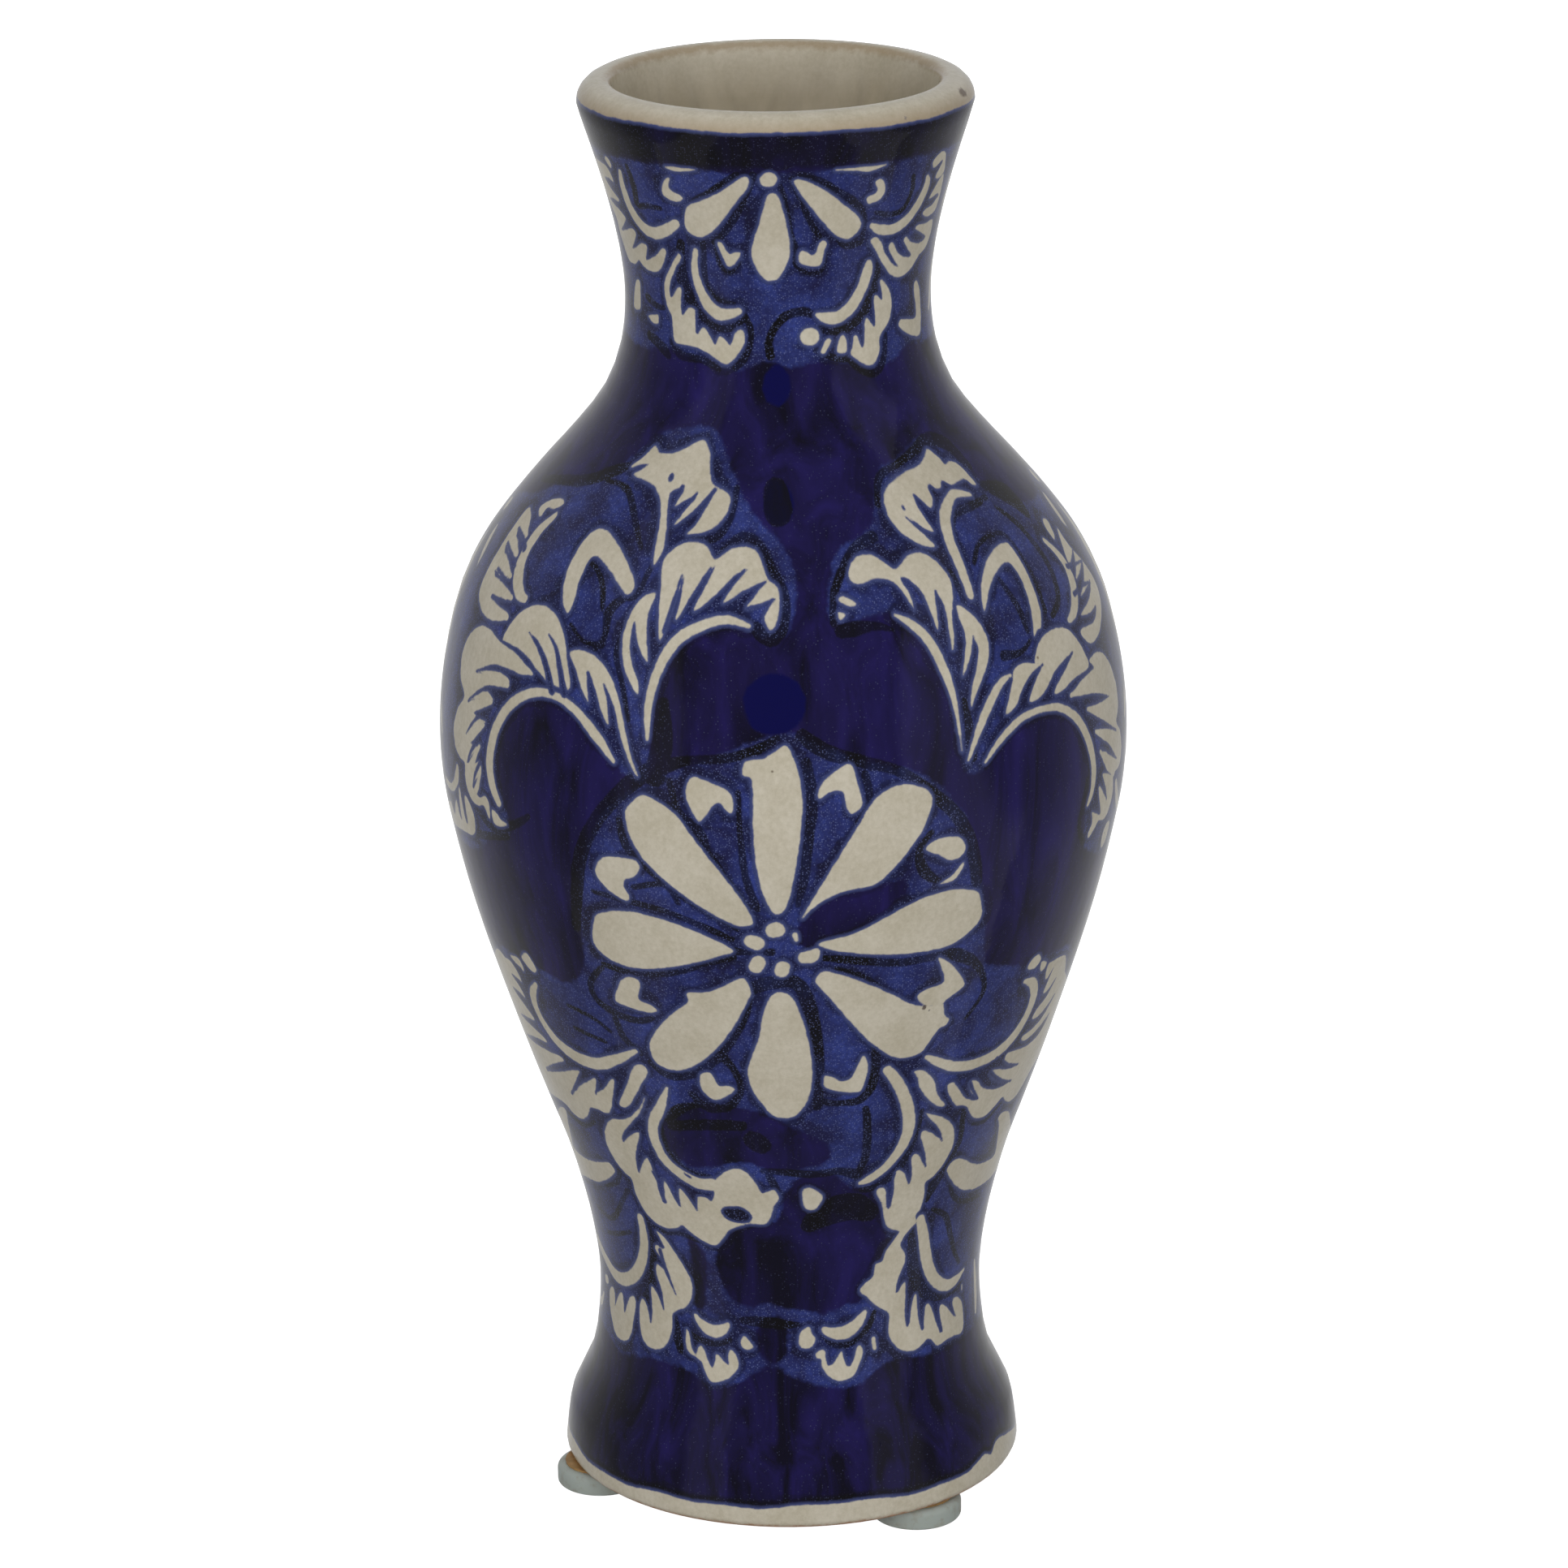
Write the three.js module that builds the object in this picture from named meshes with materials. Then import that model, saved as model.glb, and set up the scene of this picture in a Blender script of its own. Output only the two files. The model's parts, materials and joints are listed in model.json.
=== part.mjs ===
// A small glazed earthenware vase that stands on three stick-on rubber pads.
// Millimetres, +Z up. The origin is on the vase's axis, at the surface it stands on.
// Pieces: one hollow ceramic body, three moulded pads, and the disc of adhesive that holds each pad.

import * as THREE from "three";

// ---- Driving dimensions -------------------------------------------------------------------------

const TOTAL_HEIGHT = 203.2; // 8 inches, from the table to the top of the lip
const PAD_DIAMETER = 12.7; // half an inch, a stock bumper size
const PAD_THICKNESS = 3.0;
const ADHESIVE_DIAMETER = 10.4;
const ADHESIVE_THICKNESS = 0.3;

// Where each pad is stuck: [degrees from the vase's front, which faces -Y, towards +X, and the
// distance from the vase's axis]. They are pressed on by hand, so the three aren't quite regular.
const PAD_PLACES = [
  [-75, 28.4],
  [41, 26.7],
  [163, 27.6],
];

const WALL_THICKNESS = 4.6;
const FLOOR_HEIGHT = 9.5; // the floor inside, above the foot's face
const FLOOR_CORNER = 9.0; // radius between the floor and the wall
const RECESS_DEPTH = 3.2; // the hollow under the foot
const FOOT_RING_INNER = 22.8;
const FOOT_RING_OUTER = 31.5;
const FOOT_EDGE = 1.2; // radius where the foot's face turns up into the wall

const LIP_OUTER_RADIUS = 27.1;
const LIP_INNER_RADIUS = 22.2;
const LIP_OUTER_CORNER = 3.1;
const LIP_INNER_CORNER = 1.3;

const FOOT_Z = PAD_THICKNESS + ADHESIVE_THICKNESS;
const LIP_Z = TOTAL_HEIGHT - FOOT_Z; // heights below are measured from the foot's face

// The outside of the wall: [radius, height above the foot's face].
const WALL = [
  [FOOT_RING_OUTER + FOOT_EDGE, FOOT_EDGE],
  [33.0, 3.2],
  [31.9, 7.4],
  [29.1, 13],
  [27.7, 20],
  [27.35, 27.5],
  [28.4, 35.5],
  [31.3, 47],
  [36.0, 60],
  [40.7, 74],
  [44.8, 88],
  [47.5, 101],
  [47.9, 109.5],
  [46.8, 120],
  [43.3, 131.5],
  [36.4, 141.8],
  [28.4, 150.8],
  [22.95, 158.5],
  [21.1, 167],
  [21.4, 175],
  [23.3, 184],
  [25.7, 192],
  [LIP_OUTER_RADIUS, LIP_Z - LIP_OUTER_CORNER],
];

const WALL_STEPS = 30;
const ARC_STEPS = 4;
const BODY_SEGMENTS = 48;
const PAD_SEGMENTS = 24;

// ---- Helpers ------------------------------------------------------------------------------------

const point = (radius, height) => new THREE.Vector2(radius, height);

// Points along an arc in the (radius, height) plane, angles in degrees from the outward direction.
function arc(radius, height, size, from, to, steps = ARC_STEPS) {
  return Array.from({ length: steps + 1 }, (_, i) => {
    const angle = THREE.MathUtils.degToRad(from + ((to - from) * i) / steps);
    return point(radius + size * Math.cos(angle), height + size * Math.sin(angle));
  });
}

// A profile that runs anticlockwise in (radius, height), turned about +Z.
function turned(profile, segments) {
  return new THREE.LatheGeometry(profile, segments).rotateX(Math.PI / 2);
}

function named(name, geometry, material) {
  const mesh = new THREE.Mesh(geometry, material);
  mesh.name = name;
  return mesh;
}

// ---- Materials ----------------------------------------------------------------------------------

const cobaltGlaze = new THREE.MeshStandardMaterial({ color: 0x231f55, roughness: 0.12, metalness: 0 });
const milkyRubber = new THREE.MeshStandardMaterial({ color: 0xb9bdb2, roughness: 0.45, metalness: 0 });
const adhesive = new THREE.MeshStandardMaterial({ color: 0xb58a55, roughness: 0.6, metalness: 0 });

// ---- Vase body ----------------------------------------------------------------------------------

const wallCurve = new THREE.SplineCurve(WALL.map(([radius, height]) => point(radius, height)));

// The inside of the wall follows the outside at the wall's thickness, from the lip down to the
// height where the floor's corner begins.
function innerWall() {
  const inside = [];
  for (let i = WALL_STEPS; i >= 0; i--) {
    const at = wallCurve.getPointAt(i / WALL_STEPS);
    const along = wallCurve.getTangentAt(i / WALL_STEPS);
    const shifted = point(at.x - WALL_THICKNESS * along.y, at.y + WALL_THICKNESS * along.x);
    const belowLip = shifted.y < LIP_Z - 3 * LIP_INNER_CORNER;
    const aboveFloor = shifted.y > FLOOR_HEIGHT + FLOOR_CORNER;
    if (belowLip && aboveFloor) inside.push(shifted);
  }
  return inside;
}

function vaseProfile() {
  const inside = innerWall();
  const floorEdge = inside[inside.length - 1].x - FLOOR_CORNER;
  return [
    point(0, RECESS_DEPTH),
    ...arc(FOOT_RING_INNER - FOOT_EDGE, RECESS_DEPTH - FOOT_EDGE, FOOT_EDGE, 90, 0, 2),
    point(FOOT_RING_INNER, 0),
    ...arc(FOOT_RING_OUTER, FOOT_EDGE, FOOT_EDGE, -90, -15, 3),
    ...wallCurve.getSpacedPoints(WALL_STEPS),
    ...arc(LIP_OUTER_RADIUS - LIP_OUTER_CORNER, LIP_Z - LIP_OUTER_CORNER, LIP_OUTER_CORNER, 18, 90),
    ...arc(LIP_INNER_RADIUS + LIP_INNER_CORNER, LIP_Z - LIP_INNER_CORNER, LIP_INNER_CORNER, 90, 180),
    ...inside,
    ...arc(floorEdge, FLOOR_HEIGHT + FLOOR_CORNER, FLOOR_CORNER, -15, -90),
    point(0, FLOOR_HEIGHT),
  ];
}

function vaseBody() {
  const body = named("vase_body", turned(vaseProfile(), BODY_SEGMENTS), cobaltGlaze);
  body.position.z = FOOT_Z;
  return body;
}

// ---- Pads and the adhesive that holds them ------------------------------------------------------

function padGeometry() {
  const radius = PAD_DIAMETER / 2;
  const lowerEdge = 0.5;
  const upperEdge = 0.9;
  return turned(
    [
      point(0, 0),
      ...arc(radius - lowerEdge, lowerEdge, lowerEdge, -90, 0, 2),
      ...arc(radius - upperEdge, PAD_THICKNESS - upperEdge, upperEdge, 0, 90, 3),
      point(0, PAD_THICKNESS),
    ],
    PAD_SEGMENTS,
  );
}

function adhesiveGeometry() {
  const radius = ADHESIVE_DIAMETER / 2;
  return turned(
    [point(0, 0), point(radius, 0), point(radius, ADHESIVE_THICKNESS), point(0, ADHESIVE_THICKNESS)],
    PAD_SEGMENTS,
  );
}

function padSet([angle, distance], number) {
  const turn = THREE.MathUtils.degToRad(angle);
  const set = new THREE.Group();
  set.position.set(distance * Math.sin(turn), -distance * Math.cos(turn), 0);
  const film = named("adhesive_disc_" + number, adhesiveGeometry(), adhesive);
  film.position.z = PAD_THICKNESS;
  set.add(named("foot_pad_" + number, padGeometry(), milkyRubber), film);
  return set;
}

// ---- Assembly -----------------------------------------------------------------------------------

const vase = new THREE.Group();
vase.add(vaseBody());
PAD_PLACES.forEach((place, index) => vase.add(padSet(place, index + 1)));

export default vase;
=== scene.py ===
# %% [markdown]
# # A small hand-painted vase
# The CAD model comes first: one hollow body of glazed earthenware, three clear rubber pads
# stuck under its foot, and the film of adhesive that holds each pad. Everything below is in
# that model's own frame, in metres, with the front of the vase facing -Y.

# %% Load the frame
import json
import math

import bmesh
import bpy
import numpy as np
from mathutils import Matrix, Vector

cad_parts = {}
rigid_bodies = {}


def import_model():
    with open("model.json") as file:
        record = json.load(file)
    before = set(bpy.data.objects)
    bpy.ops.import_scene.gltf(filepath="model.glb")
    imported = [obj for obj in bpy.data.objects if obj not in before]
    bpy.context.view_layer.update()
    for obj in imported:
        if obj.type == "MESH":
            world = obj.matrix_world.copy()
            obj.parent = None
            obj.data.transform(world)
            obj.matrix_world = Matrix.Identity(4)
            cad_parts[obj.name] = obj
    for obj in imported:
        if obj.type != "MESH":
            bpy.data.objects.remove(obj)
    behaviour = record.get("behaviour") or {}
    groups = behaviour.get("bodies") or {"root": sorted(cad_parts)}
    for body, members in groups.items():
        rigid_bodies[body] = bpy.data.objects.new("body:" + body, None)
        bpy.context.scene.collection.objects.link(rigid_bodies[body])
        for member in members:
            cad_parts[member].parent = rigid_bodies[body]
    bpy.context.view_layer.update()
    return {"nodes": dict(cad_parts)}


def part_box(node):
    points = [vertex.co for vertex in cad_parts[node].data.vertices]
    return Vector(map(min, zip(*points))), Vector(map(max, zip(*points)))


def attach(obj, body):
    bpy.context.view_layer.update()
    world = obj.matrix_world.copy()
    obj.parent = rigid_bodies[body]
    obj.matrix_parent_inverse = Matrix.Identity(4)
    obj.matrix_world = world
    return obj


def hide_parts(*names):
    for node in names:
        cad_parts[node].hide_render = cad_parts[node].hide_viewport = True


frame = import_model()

# %% [markdown]
# ## Two helpers
# Pottery is measured in millimetres and glaze colours are picked as sRGB hex values, so one
# function turns a hex value into the linear colour that a shader wants. The other adds a
# shader or geometry node with its settings and links, which keeps every tree readable.

# %% Colours and nodes
MM = 0.001


def linear(hex_colour):
    """An sRGB hex colour as linear red, green, blue and full alpha."""
    parts = [int(hex_colour[i : i + 2], 16) / 255 for i in (1, 3, 5)]
    return [c / 12.92 if c <= 0.04045 else ((c + 0.055) / 1.055) ** 2.4 for c in parts] + [1.0]


def add(tree, kind, inputs=None, **settings):
    """Adds a node, sets its properties, and fills each input with a value or a link."""
    made = tree.nodes.new(kind)
    for name, value in settings.items():
        setattr(made, name, value)
    for key, value in (inputs or {}).items():
        if isinstance(value, bpy.types.NodeSocket):
            tree.links.new(value, made.inputs[key])
        else:
            made.inputs[key].default_value = value
    return made


print("tin-glaze white in linear light:", [round(c, 3) for c in linear("#BEB8AA")[:3]])

# %% [markdown]
# ## Camera
# The vase is seen from a little above, at about the distance a product photographer stands
# with a long lens, so its sides stay nearly parallel and the mouth shows as a shallow
# ellipse. The camera is rolled by less than a degree, which is how a hand-levelled tripod sits.

# %% Camera
CAMERA_DISTANCE = 779.9
CAMERA_HEIGHT = 351.1
CAMERA_LENS = 134.3
LOOK_DOWN = math.radians(17.69)
ROLL = math.radians(-0.712)

camera_data = bpy.data.cameras.new("camera")
camera_data.lens = CAMERA_LENS
camera_data.sensor_width = 36
camera = bpy.data.objects.new("camera", camera_data)
bpy.context.scene.collection.objects.link(camera)
ahead = Vector((0, math.cos(LOOK_DOWN), -math.sin(LOOK_DOWN)))
level_up = Vector((0, math.sin(LOOK_DOWN), math.cos(LOOK_DOWN)))
right = math.cos(ROLL) * Vector((1, 0, 0)) + math.sin(ROLL) * level_up
up = math.cos(ROLL) * level_up - math.sin(ROLL) * Vector((1, 0, 0))
axes = Matrix((right, up, -ahead)).transposed().to_4x4()
place = Matrix.Translation((0, -CAMERA_DISTANCE * MM, CAMERA_HEIGHT * MM))
camera.matrix_world = place @ axes
bpy.context.scene.camera = camera
print("camera at, mm:", [round(1000 * c, 1) for c in camera.location])

# %% [markdown]
# ## Table, light and surroundings
# Glossy glaze shows whatever stands round it, so the studio matters as much as the lamps.
# The vase stands on a lit sheet of white acrylic in a white tent. The tent is bright behind
# the vase, which gives the pale glow along its edges, and dim round the camera, so that the
# painted front stays deep apart from two tall soft reflections. Four large panels and the
# table wear polarising film, so they light the colours and aren't themselves seen in the glaze.

# %% Table
floor_mesh = bpy.data.meshes.new("table")
FLOOR_HALF = 4.0
corners = [(-1, -1, 0), (1, -1, 0), (1, 1, 0), (-1, 1, 0)]
floor_mesh.from_pydata([Vector(c) * FLOOR_HALF for c in corners], [], [(0, 1, 2, 3)])
floor = bpy.data.objects.new("table", floor_mesh)
bpy.context.scene.collection.objects.link(floor)
floor.visible_glossy = False

acrylic_sheet = bpy.data.materials.new("lit_white_acrylic")
acrylic_sheet.use_nodes = True
sheet = acrylic_sheet.node_tree.nodes["Principled BSDF"]
sheet.inputs["Base Color"].default_value = linear("#C4C4C2")
sheet.inputs["Roughness"].default_value = 0.9
sheet.inputs["Specular IOR Level"].default_value = 0.1
sheet.inputs["Emission Color"].default_value = linear("#FFFFFF")
# Seen from the camera the sheet burns out to white; it throws less light than that on the vase.
path = add(acrylic_sheet.node_tree, "ShaderNodeLightPath")
lit = add(
    acrylic_sheet.node_tree,
    "ShaderNodeMath",
    {0: path.outputs["Is Camera Ray"], 1: 0.95, 2: 0.06},
    operation="MULTIPLY_ADD",
)
acrylic_sheet.node_tree.links.new(lit.outputs[0], sheet.inputs["Emission Strength"])
floor_mesh.materials.append(acrylic_sheet)
print("table", 2 * FLOOR_HALF, "m square")

# %% Light panels
PANELS = {
    # name: (size across, size up, where it stands, power in watts), metres
    "panel_left": (0.6, 1.2, (-0.5, -1.25, 0.6), 5.2),
    "panel_right": (0.6, 1.2, (0.5, -1.25, 0.6), 5.0),
    "panel_above": (1.3, 1.3, (0.0, -0.4, 1.5), 2.8),
    "panel_behind": (1.2, 0.5, (0.0, 1.3, 0.2), 5.0),
}
for name, (across, tall, where, power) in PANELS.items():
    panel = bpy.data.lights.new(name, "AREA")
    panel.shape = "RECTANGLE"
    panel.size, panel.size_y = across, tall
    panel.energy = power
    lamp = bpy.data.objects.new(name, panel)
    lamp.location = where
    towards = Vector((0, 0, 0.1)) - Vector(where)
    lamp.rotation_euler = towards.to_track_quat("-Z", "Y").to_euler()
    lamp.visible_glossy = False
    lamp.visible_camera = False
    bpy.context.scene.collection.objects.link(lamp)
print(len(PANELS), "light panels")

# %% The tent
# Tent: (how far a direction points away from the camera, -1 to 1; how bright the cloth is).
# Soft reflections: (how far to the side, half width, brightness added).
TENT = [(-1.0, 0.14), (-0.15, 0.15), (0.15, 0.2), (0.45, 0.33), (0.7, 0.42), (0.93, 0.55)]
SOFT_REFLECTIONS = [(-0.68, 0.13, 0.12), (0.77, 0.15, 0.15)]
BAND_BLUR = 0.03
world = bpy.data.worlds.new("studio_tent")
bpy.context.scene.world = world
world.use_nodes = True
tent = world.node_tree
tent.nodes.clear()
direction = add(tent, "ShaderNodeTexCoord")
parts = add(tent, "ShaderNodeSeparateXYZ", {0: direction.outputs["Generated"]})
backwards = add(
    tent,
    "ShaderNodeMapRange",
    {"Value": parts.outputs["Y"], "From Min": -1.0, "From Max": 1.0},
)
wall_tone = add(tent, "ShaderNodeValToRGB", {0: backwards.outputs[0]})
stops = wall_tone.color_ramp.elements
stops[1].position = (TENT[-1][0] + 1) / 2
for where, _ in TENT[1:-1]:
    stops.new((where + 1) / 2)
for stop, (_, tone) in zip(stops, TENT):
    stop.color = (tone, tone, tone, 1.0)
tone = wall_tone.outputs[0]
in_front = add(tent, "ShaderNodeMath", {0: parts.outputs["Y"], 1: 0.0}, operation="LESS_THAN")
for centre, half_width, strength in SOFT_REFLECTIONS:
    off_centre = add(tent, "ShaderNodeMath", {0: parts.outputs["X"], 1: -centre}, operation="ADD")
    distance = add(tent, "ShaderNodeMath", {0: off_centre.outputs[0]}, operation="ABSOLUTE")
    band = add(
        tent,
        "ShaderNodeMapRange",
        {
            "Value": distance.outputs[0],
            "From Min": half_width - BAND_BLUR,
            "From Max": half_width + BAND_BLUR,
            "To Min": strength,
            "To Max": 0.0,
        },
        interpolation_type="SMOOTHSTEP",
    )
    tone = add(
        tent,
        "ShaderNodeMath",
        {0: band.outputs[0], 1: in_front.outputs[0], 2: tone},
        operation="MULTIPLY_ADD",
    ).outputs[0]
seen = add(tent, "ShaderNodeLightPath")
shown = add(
    tent,
    "ShaderNodeMix",
    {0: seen.outputs["Is Camera Ray"], 2: tone, 3: 1.0},
    data_type="FLOAT",
)
cloth = add(
    tent,
    "ShaderNodeBackground",
    {"Color": linear("#FFFFFF"), "Strength": shown.outputs[0]},
)
add(tent, "ShaderNodeOutputWorld", {"Surface": cloth.outputs[0]})
bpy.context.scene.view_settings.view_transform = "Standard"
print("tent tones", [tone_value for _, tone_value in TENT])

# %% [markdown]
# ## The wall of the vase
# The real body is thrown or cast and then turned, so every level is a circle and one line
# describes the whole shape: along the underside, up the outside, over the lip and down the
# inside. The CAD body holds that line at each of its corners. It is read from the row of
# vertices that faces the front, and a smooth curve through it takes away the facets.

# %% Read the wall's line
def front_row(node):
    """The (radius, height) points of a turned CAD node, in mm, from underside to inner floor."""
    mesh = frame["nodes"][node].data
    corner = [(v.co.x * 1000, v.co.y * 1000, v.co.z * 1000) for v in mesh.vertices]
    on_row = [abs(x) < 0.002 and y < 0.002 for x, y, z in corner]
    key = [(round(-y, 3) + 0.0, round(z, 3)) for x, y, z in corner]
    beside = {}
    for edge in mesh.edges:
        a, b = edge.vertices
        if on_row[a] and on_row[b] and key[a] != key[b]:
            beside.setdefault(key[a], set()).add(key[b])
            beside.setdefault(key[b], set()).add(key[a])
    start = min((p for p in beside if p[0] < 0.01), key=lambda p: p[1])
    line = [start]
    while True:
        following = [p for p in beside[line[-1]] if p not in line]
        if not following:
            return np.array(line)
        line.append(min(following, key=lambda p: math.dist(p, line[-1])))


wall_line = front_row("vase_body")
FOOT_Z = wall_line[:, 1].min()
TOP_Z = wall_line[:, 1].max()
print(len(wall_line), "points on the line, heights", FOOT_Z, "to", TOP_Z)

# %% Smooth the line
FINE_STEP = 0.15  # mm between the points of the smooth line


def smooth_through(points, closed, steps):
    """A Catmull-Rom curve through points of any dimension, with steps pieces to each gap."""
    p = np.asarray(points, float)
    gaps = len(p) if closed else len(p) - 1
    index = np.arange(gaps)
    pick = (lambda k: p[k % len(p)]) if closed else (lambda k: p[np.clip(k, 0, len(p) - 1)])
    a, b, c, d = pick(index - 1), pick(index), pick(index + 1), pick(index + 2)
    out = []
    for t in np.arange(steps) / steps:
        bend = (2 * a - 5 * b + 4 * c - d) * t * t + (3 * b - a - 3 * c + d) * t**3
        out.append(0.5 * (2 * b + (c - a) * t + bend))
    curve = np.stack(out, 1).reshape(-1, p.shape[1])
    return curve if closed else np.vstack([curve, p[-1]])


def evenly_smooth(line):
    """A fine smooth line through uneven points: each gap's tangents are cut to suit the gap."""
    fine = []
    for i in range(len(line) - 1):
        before, here = line[max(i - 1, 0)], line[i]
        there, after = line[i + 1], line[min(i + 2, len(line) - 1)]
        gap = np.linalg.norm(there - here)
        left = (there - before) / max(np.linalg.norm(there - before), 1e-6)
        right_side = (after - here) / max(np.linalg.norm(after - here), 1e-6)
        count = max(4, int(gap / FINE_STEP))
        for t in np.arange(count) / count:
            h = (2 * t**3 - 3 * t**2 + 1, t**3 - 2 * t**2 + t, 3 * t**2 - 2 * t**3, t**3 - t**2)
            fine.append(h[0] * here + h[1] * gap * left + h[2] * there + h[3] * gap * right_side)
    fine.append(line[-1])
    fine = np.array(fine)
    fine[:, 0] = np.clip(fine[:, 0], 0, line[:, 0].max())
    fine[:, 1] = np.clip(fine[:, 1], line[:, 1].min(), line[:, 1].max())
    return fine


# %% Measure along the smooth line
fine_line = evenly_smooth(wall_line)
along = np.concatenate([[0], np.cumsum(np.linalg.norm(np.diff(fine_line, axis=0), axis=1))])
widest_of_foot = along[np.argmax(np.where(fine_line[:, 1] < FOOT_Z + 10, fine_line[:, 0], 0))]
top_of_lip = along[np.argmax(fine_line[:, 1])]
print("line is", round(along[-1], 1), "mm long; lip's top at", round(top_of_lip, 1))


def radius_at(distance):
    return np.interp(distance, along, fine_line[:, 0])


def height_at(distance):
    return np.interp(distance, along, fine_line[:, 1])


# %% [markdown]
# ## Turning the wall
# A potter's wheel does exactly what this tree does: it takes the line and turns it about the
# upright axis. The line is a mesh whose points carry their distance along it. The tree lays a
# grid with one row to a point, wraps each row round the axis, and closes the seam and the two
# poles by merging. Turns is an input, so the same wheel can throw a coarse or a fine pot.

# %% The wheel
def potters_wheel():
    tree = bpy.data.node_groups.new("potters_wheel", "GeometryNodeTree")
    socket = tree.interface.new_socket
    socket("Line", in_out="INPUT", socket_type="NodeSocketGeometry")
    socket("Sides", in_out="INPUT", socket_type="NodeSocketInt")
    socket("Glaze", in_out="INPUT", socket_type="NodeSocketMaterial")
    socket("Pot", in_out="OUTPUT", socket_type="NodeSocketGeometry")
    given = add(tree, "NodeGroupInput")
    size = add(tree, "GeometryNodeAttributeDomainSize", {0: given.outputs["Line"]})
    columns = add(tree, "ShaderNodeMath", {0: given.outputs["Sides"], 1: 1.0}, operation="ADD")
    grid = add(
        tree,
        "GeometryNodeMeshGrid",
        {"Vertices X": size.outputs["Point Count"], "Vertices Y": columns.outputs[0]},
    )
    number = add(tree, "GeometryNodeInputIndex")
    share = add(
        tree,
        "ShaderNodeMath",
        {0: number.outputs[0], 1: columns.outputs[0]},
        operation="DIVIDE",
    )
    row = add(tree, "ShaderNodeMath", {0: share.outputs[0]}, operation="FLOOR")
    column = add(
        tree, "ShaderNodeMath", {0: number.outputs[0], 1: columns.outputs[0]}, operation="MODULO"
    )
    turn = add(
        tree,
        "ShaderNodeMath",
        {0: column.outputs[0], 1: given.outputs["Sides"]},
        operation="DIVIDE",
    )
    angle = add(tree, "ShaderNodeMath", {0: turn.outputs[0], 1: 2 * math.pi}, operation="MULTIPLY")
    spot = add(tree, "GeometryNodeInputPosition")
    on_line = add(
        tree,
        "GeometryNodeSampleIndex",
        {0: given.outputs["Line"], "Value": spot.outputs[0], "Index": row.outputs[0]},
        data_type="FLOAT_VECTOR",
    )
    mark = add(tree, "GeometryNodeInputNamedAttribute", {"Name": "along"}, data_type="FLOAT")
    mark_on_line = add(
        tree,
        "GeometryNodeSampleIndex",
        {0: given.outputs["Line"], "Value": mark.outputs[0], "Index": row.outputs[0]},
        data_type="FLOAT",
    )
    turned = add(
        tree,
        "ShaderNodeVectorRotate",
        {"Vector": on_line.outputs[0], "Angle": angle.outputs[0]},
        rotation_type="Z_AXIS",
    )
    wrapped = add(
        tree,
        "GeometryNodeSetPosition",
        {0: grid.outputs["Mesh"], "Position": turned.outputs[0]},
    )
    marked = add(
        tree,
        "GeometryNodeStoreNamedAttribute",
        {0: wrapped.outputs[0], "Name": "along", "Value": mark_on_line.outputs[0]},
        data_type="FLOAT",
        domain="POINT",
    )
    closed = add(
        tree,
        "GeometryNodeMergeByDistance",
        {0: marked.outputs[0], "Distance": 0.002 * MM},
    )
    real = add(tree, "GeometryNodeRealizeInstances", {0: closed.outputs[0]})
    glazed = add(
        tree,
        "GeometryNodeSetMaterial",
        {0: real.outputs[0], "Material": given.outputs["Glaze"]},
    )
    add(tree, "NodeGroupOutput", {0: glazed.outputs[0]})
    return tree


# %% Fire a tree into a plain mesh
def fired(name, tree, mesh, **choices):
    """Runs a tree on a mesh and returns the plain mesh that comes out."""
    holder = bpy.data.objects.new(name, mesh)
    bpy.context.scene.collection.objects.link(holder)
    modifier = holder.modifiers.new(name, "NODES")
    modifier.node_group = tree
    for item in tree.interface.items_tree:
        if item.in_out == "INPUT" and item.name in choices:
            modifier[item.identifier] = choices[item.name]
    evaluated = holder.evaluated_get(bpy.context.evaluated_depsgraph_get())
    result = bpy.data.meshes.new_from_object(evaluated)
    holder.modifiers.remove(modifier)
    bpy.data.objects.remove(holder)
    result.name = name
    return result


wheel = potters_wheel()
print("wheel has", len(wheel.nodes), "nodes")

# %% Throw the body
ROW_STEP = 3.6  # mm along the wall
SIDES = 84
marks = [0.0]
corner_marks = [along[np.argmin(np.linalg.norm(fine_line - c, axis=1))] for c in wall_line]
for begin, end in zip(corner_marks[:-1], corner_marks[1:]):
    pieces_here = max(1, math.ceil((end - begin) / ROW_STEP))
    marks.extend(begin + (end - begin) * (k + 1) / pieces_here for k in range(pieces_here))
marks = np.array(marks)
line_mesh = bpy.data.meshes.new("wall_line")
line_points = [(r * MM, 0, z * MM) for r, z in zip(radius_at(marks), height_at(marks))]
line_mesh.from_pydata(line_points, [(k, k + 1) for k in range(len(marks) - 1)], [])
mark_values = line_mesh.attributes.new("along", "FLOAT", "POINT").data
mark_values.foreach_set("value", marks.astype(np.float32))
glaze = bpy.data.materials.new("tin_glazed_earthenware_gloss")
thrown = fired("vase", wheel, line_mesh, Sides=SIDES, Glaze=glaze)
print("thrown:", len(thrown.vertices), "vertices,", len(thrown.polygons), "faces")

# %% [markdown]
# ## The white drawing
# On the real vase the leaves, petals and scrolls are the white glaze left bare between the
# blues, so the drawing is stored as white shapes. Each is a closed outline of places: degrees
# round from the front, then millimetres above the foot. Strokes of the liner brush are open
# paths with a third number, half the stroke's width in millimetres. A smooth curve goes
# through the points later, so a dozen of them are enough for a leaf.
# %% Start the drawing
WHITE = {}
WHITE_STROKES = {}
HOLES = {}
WASHES = {}
INK_LINES = {}
print("a drawing with nothing on it yet")

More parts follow.
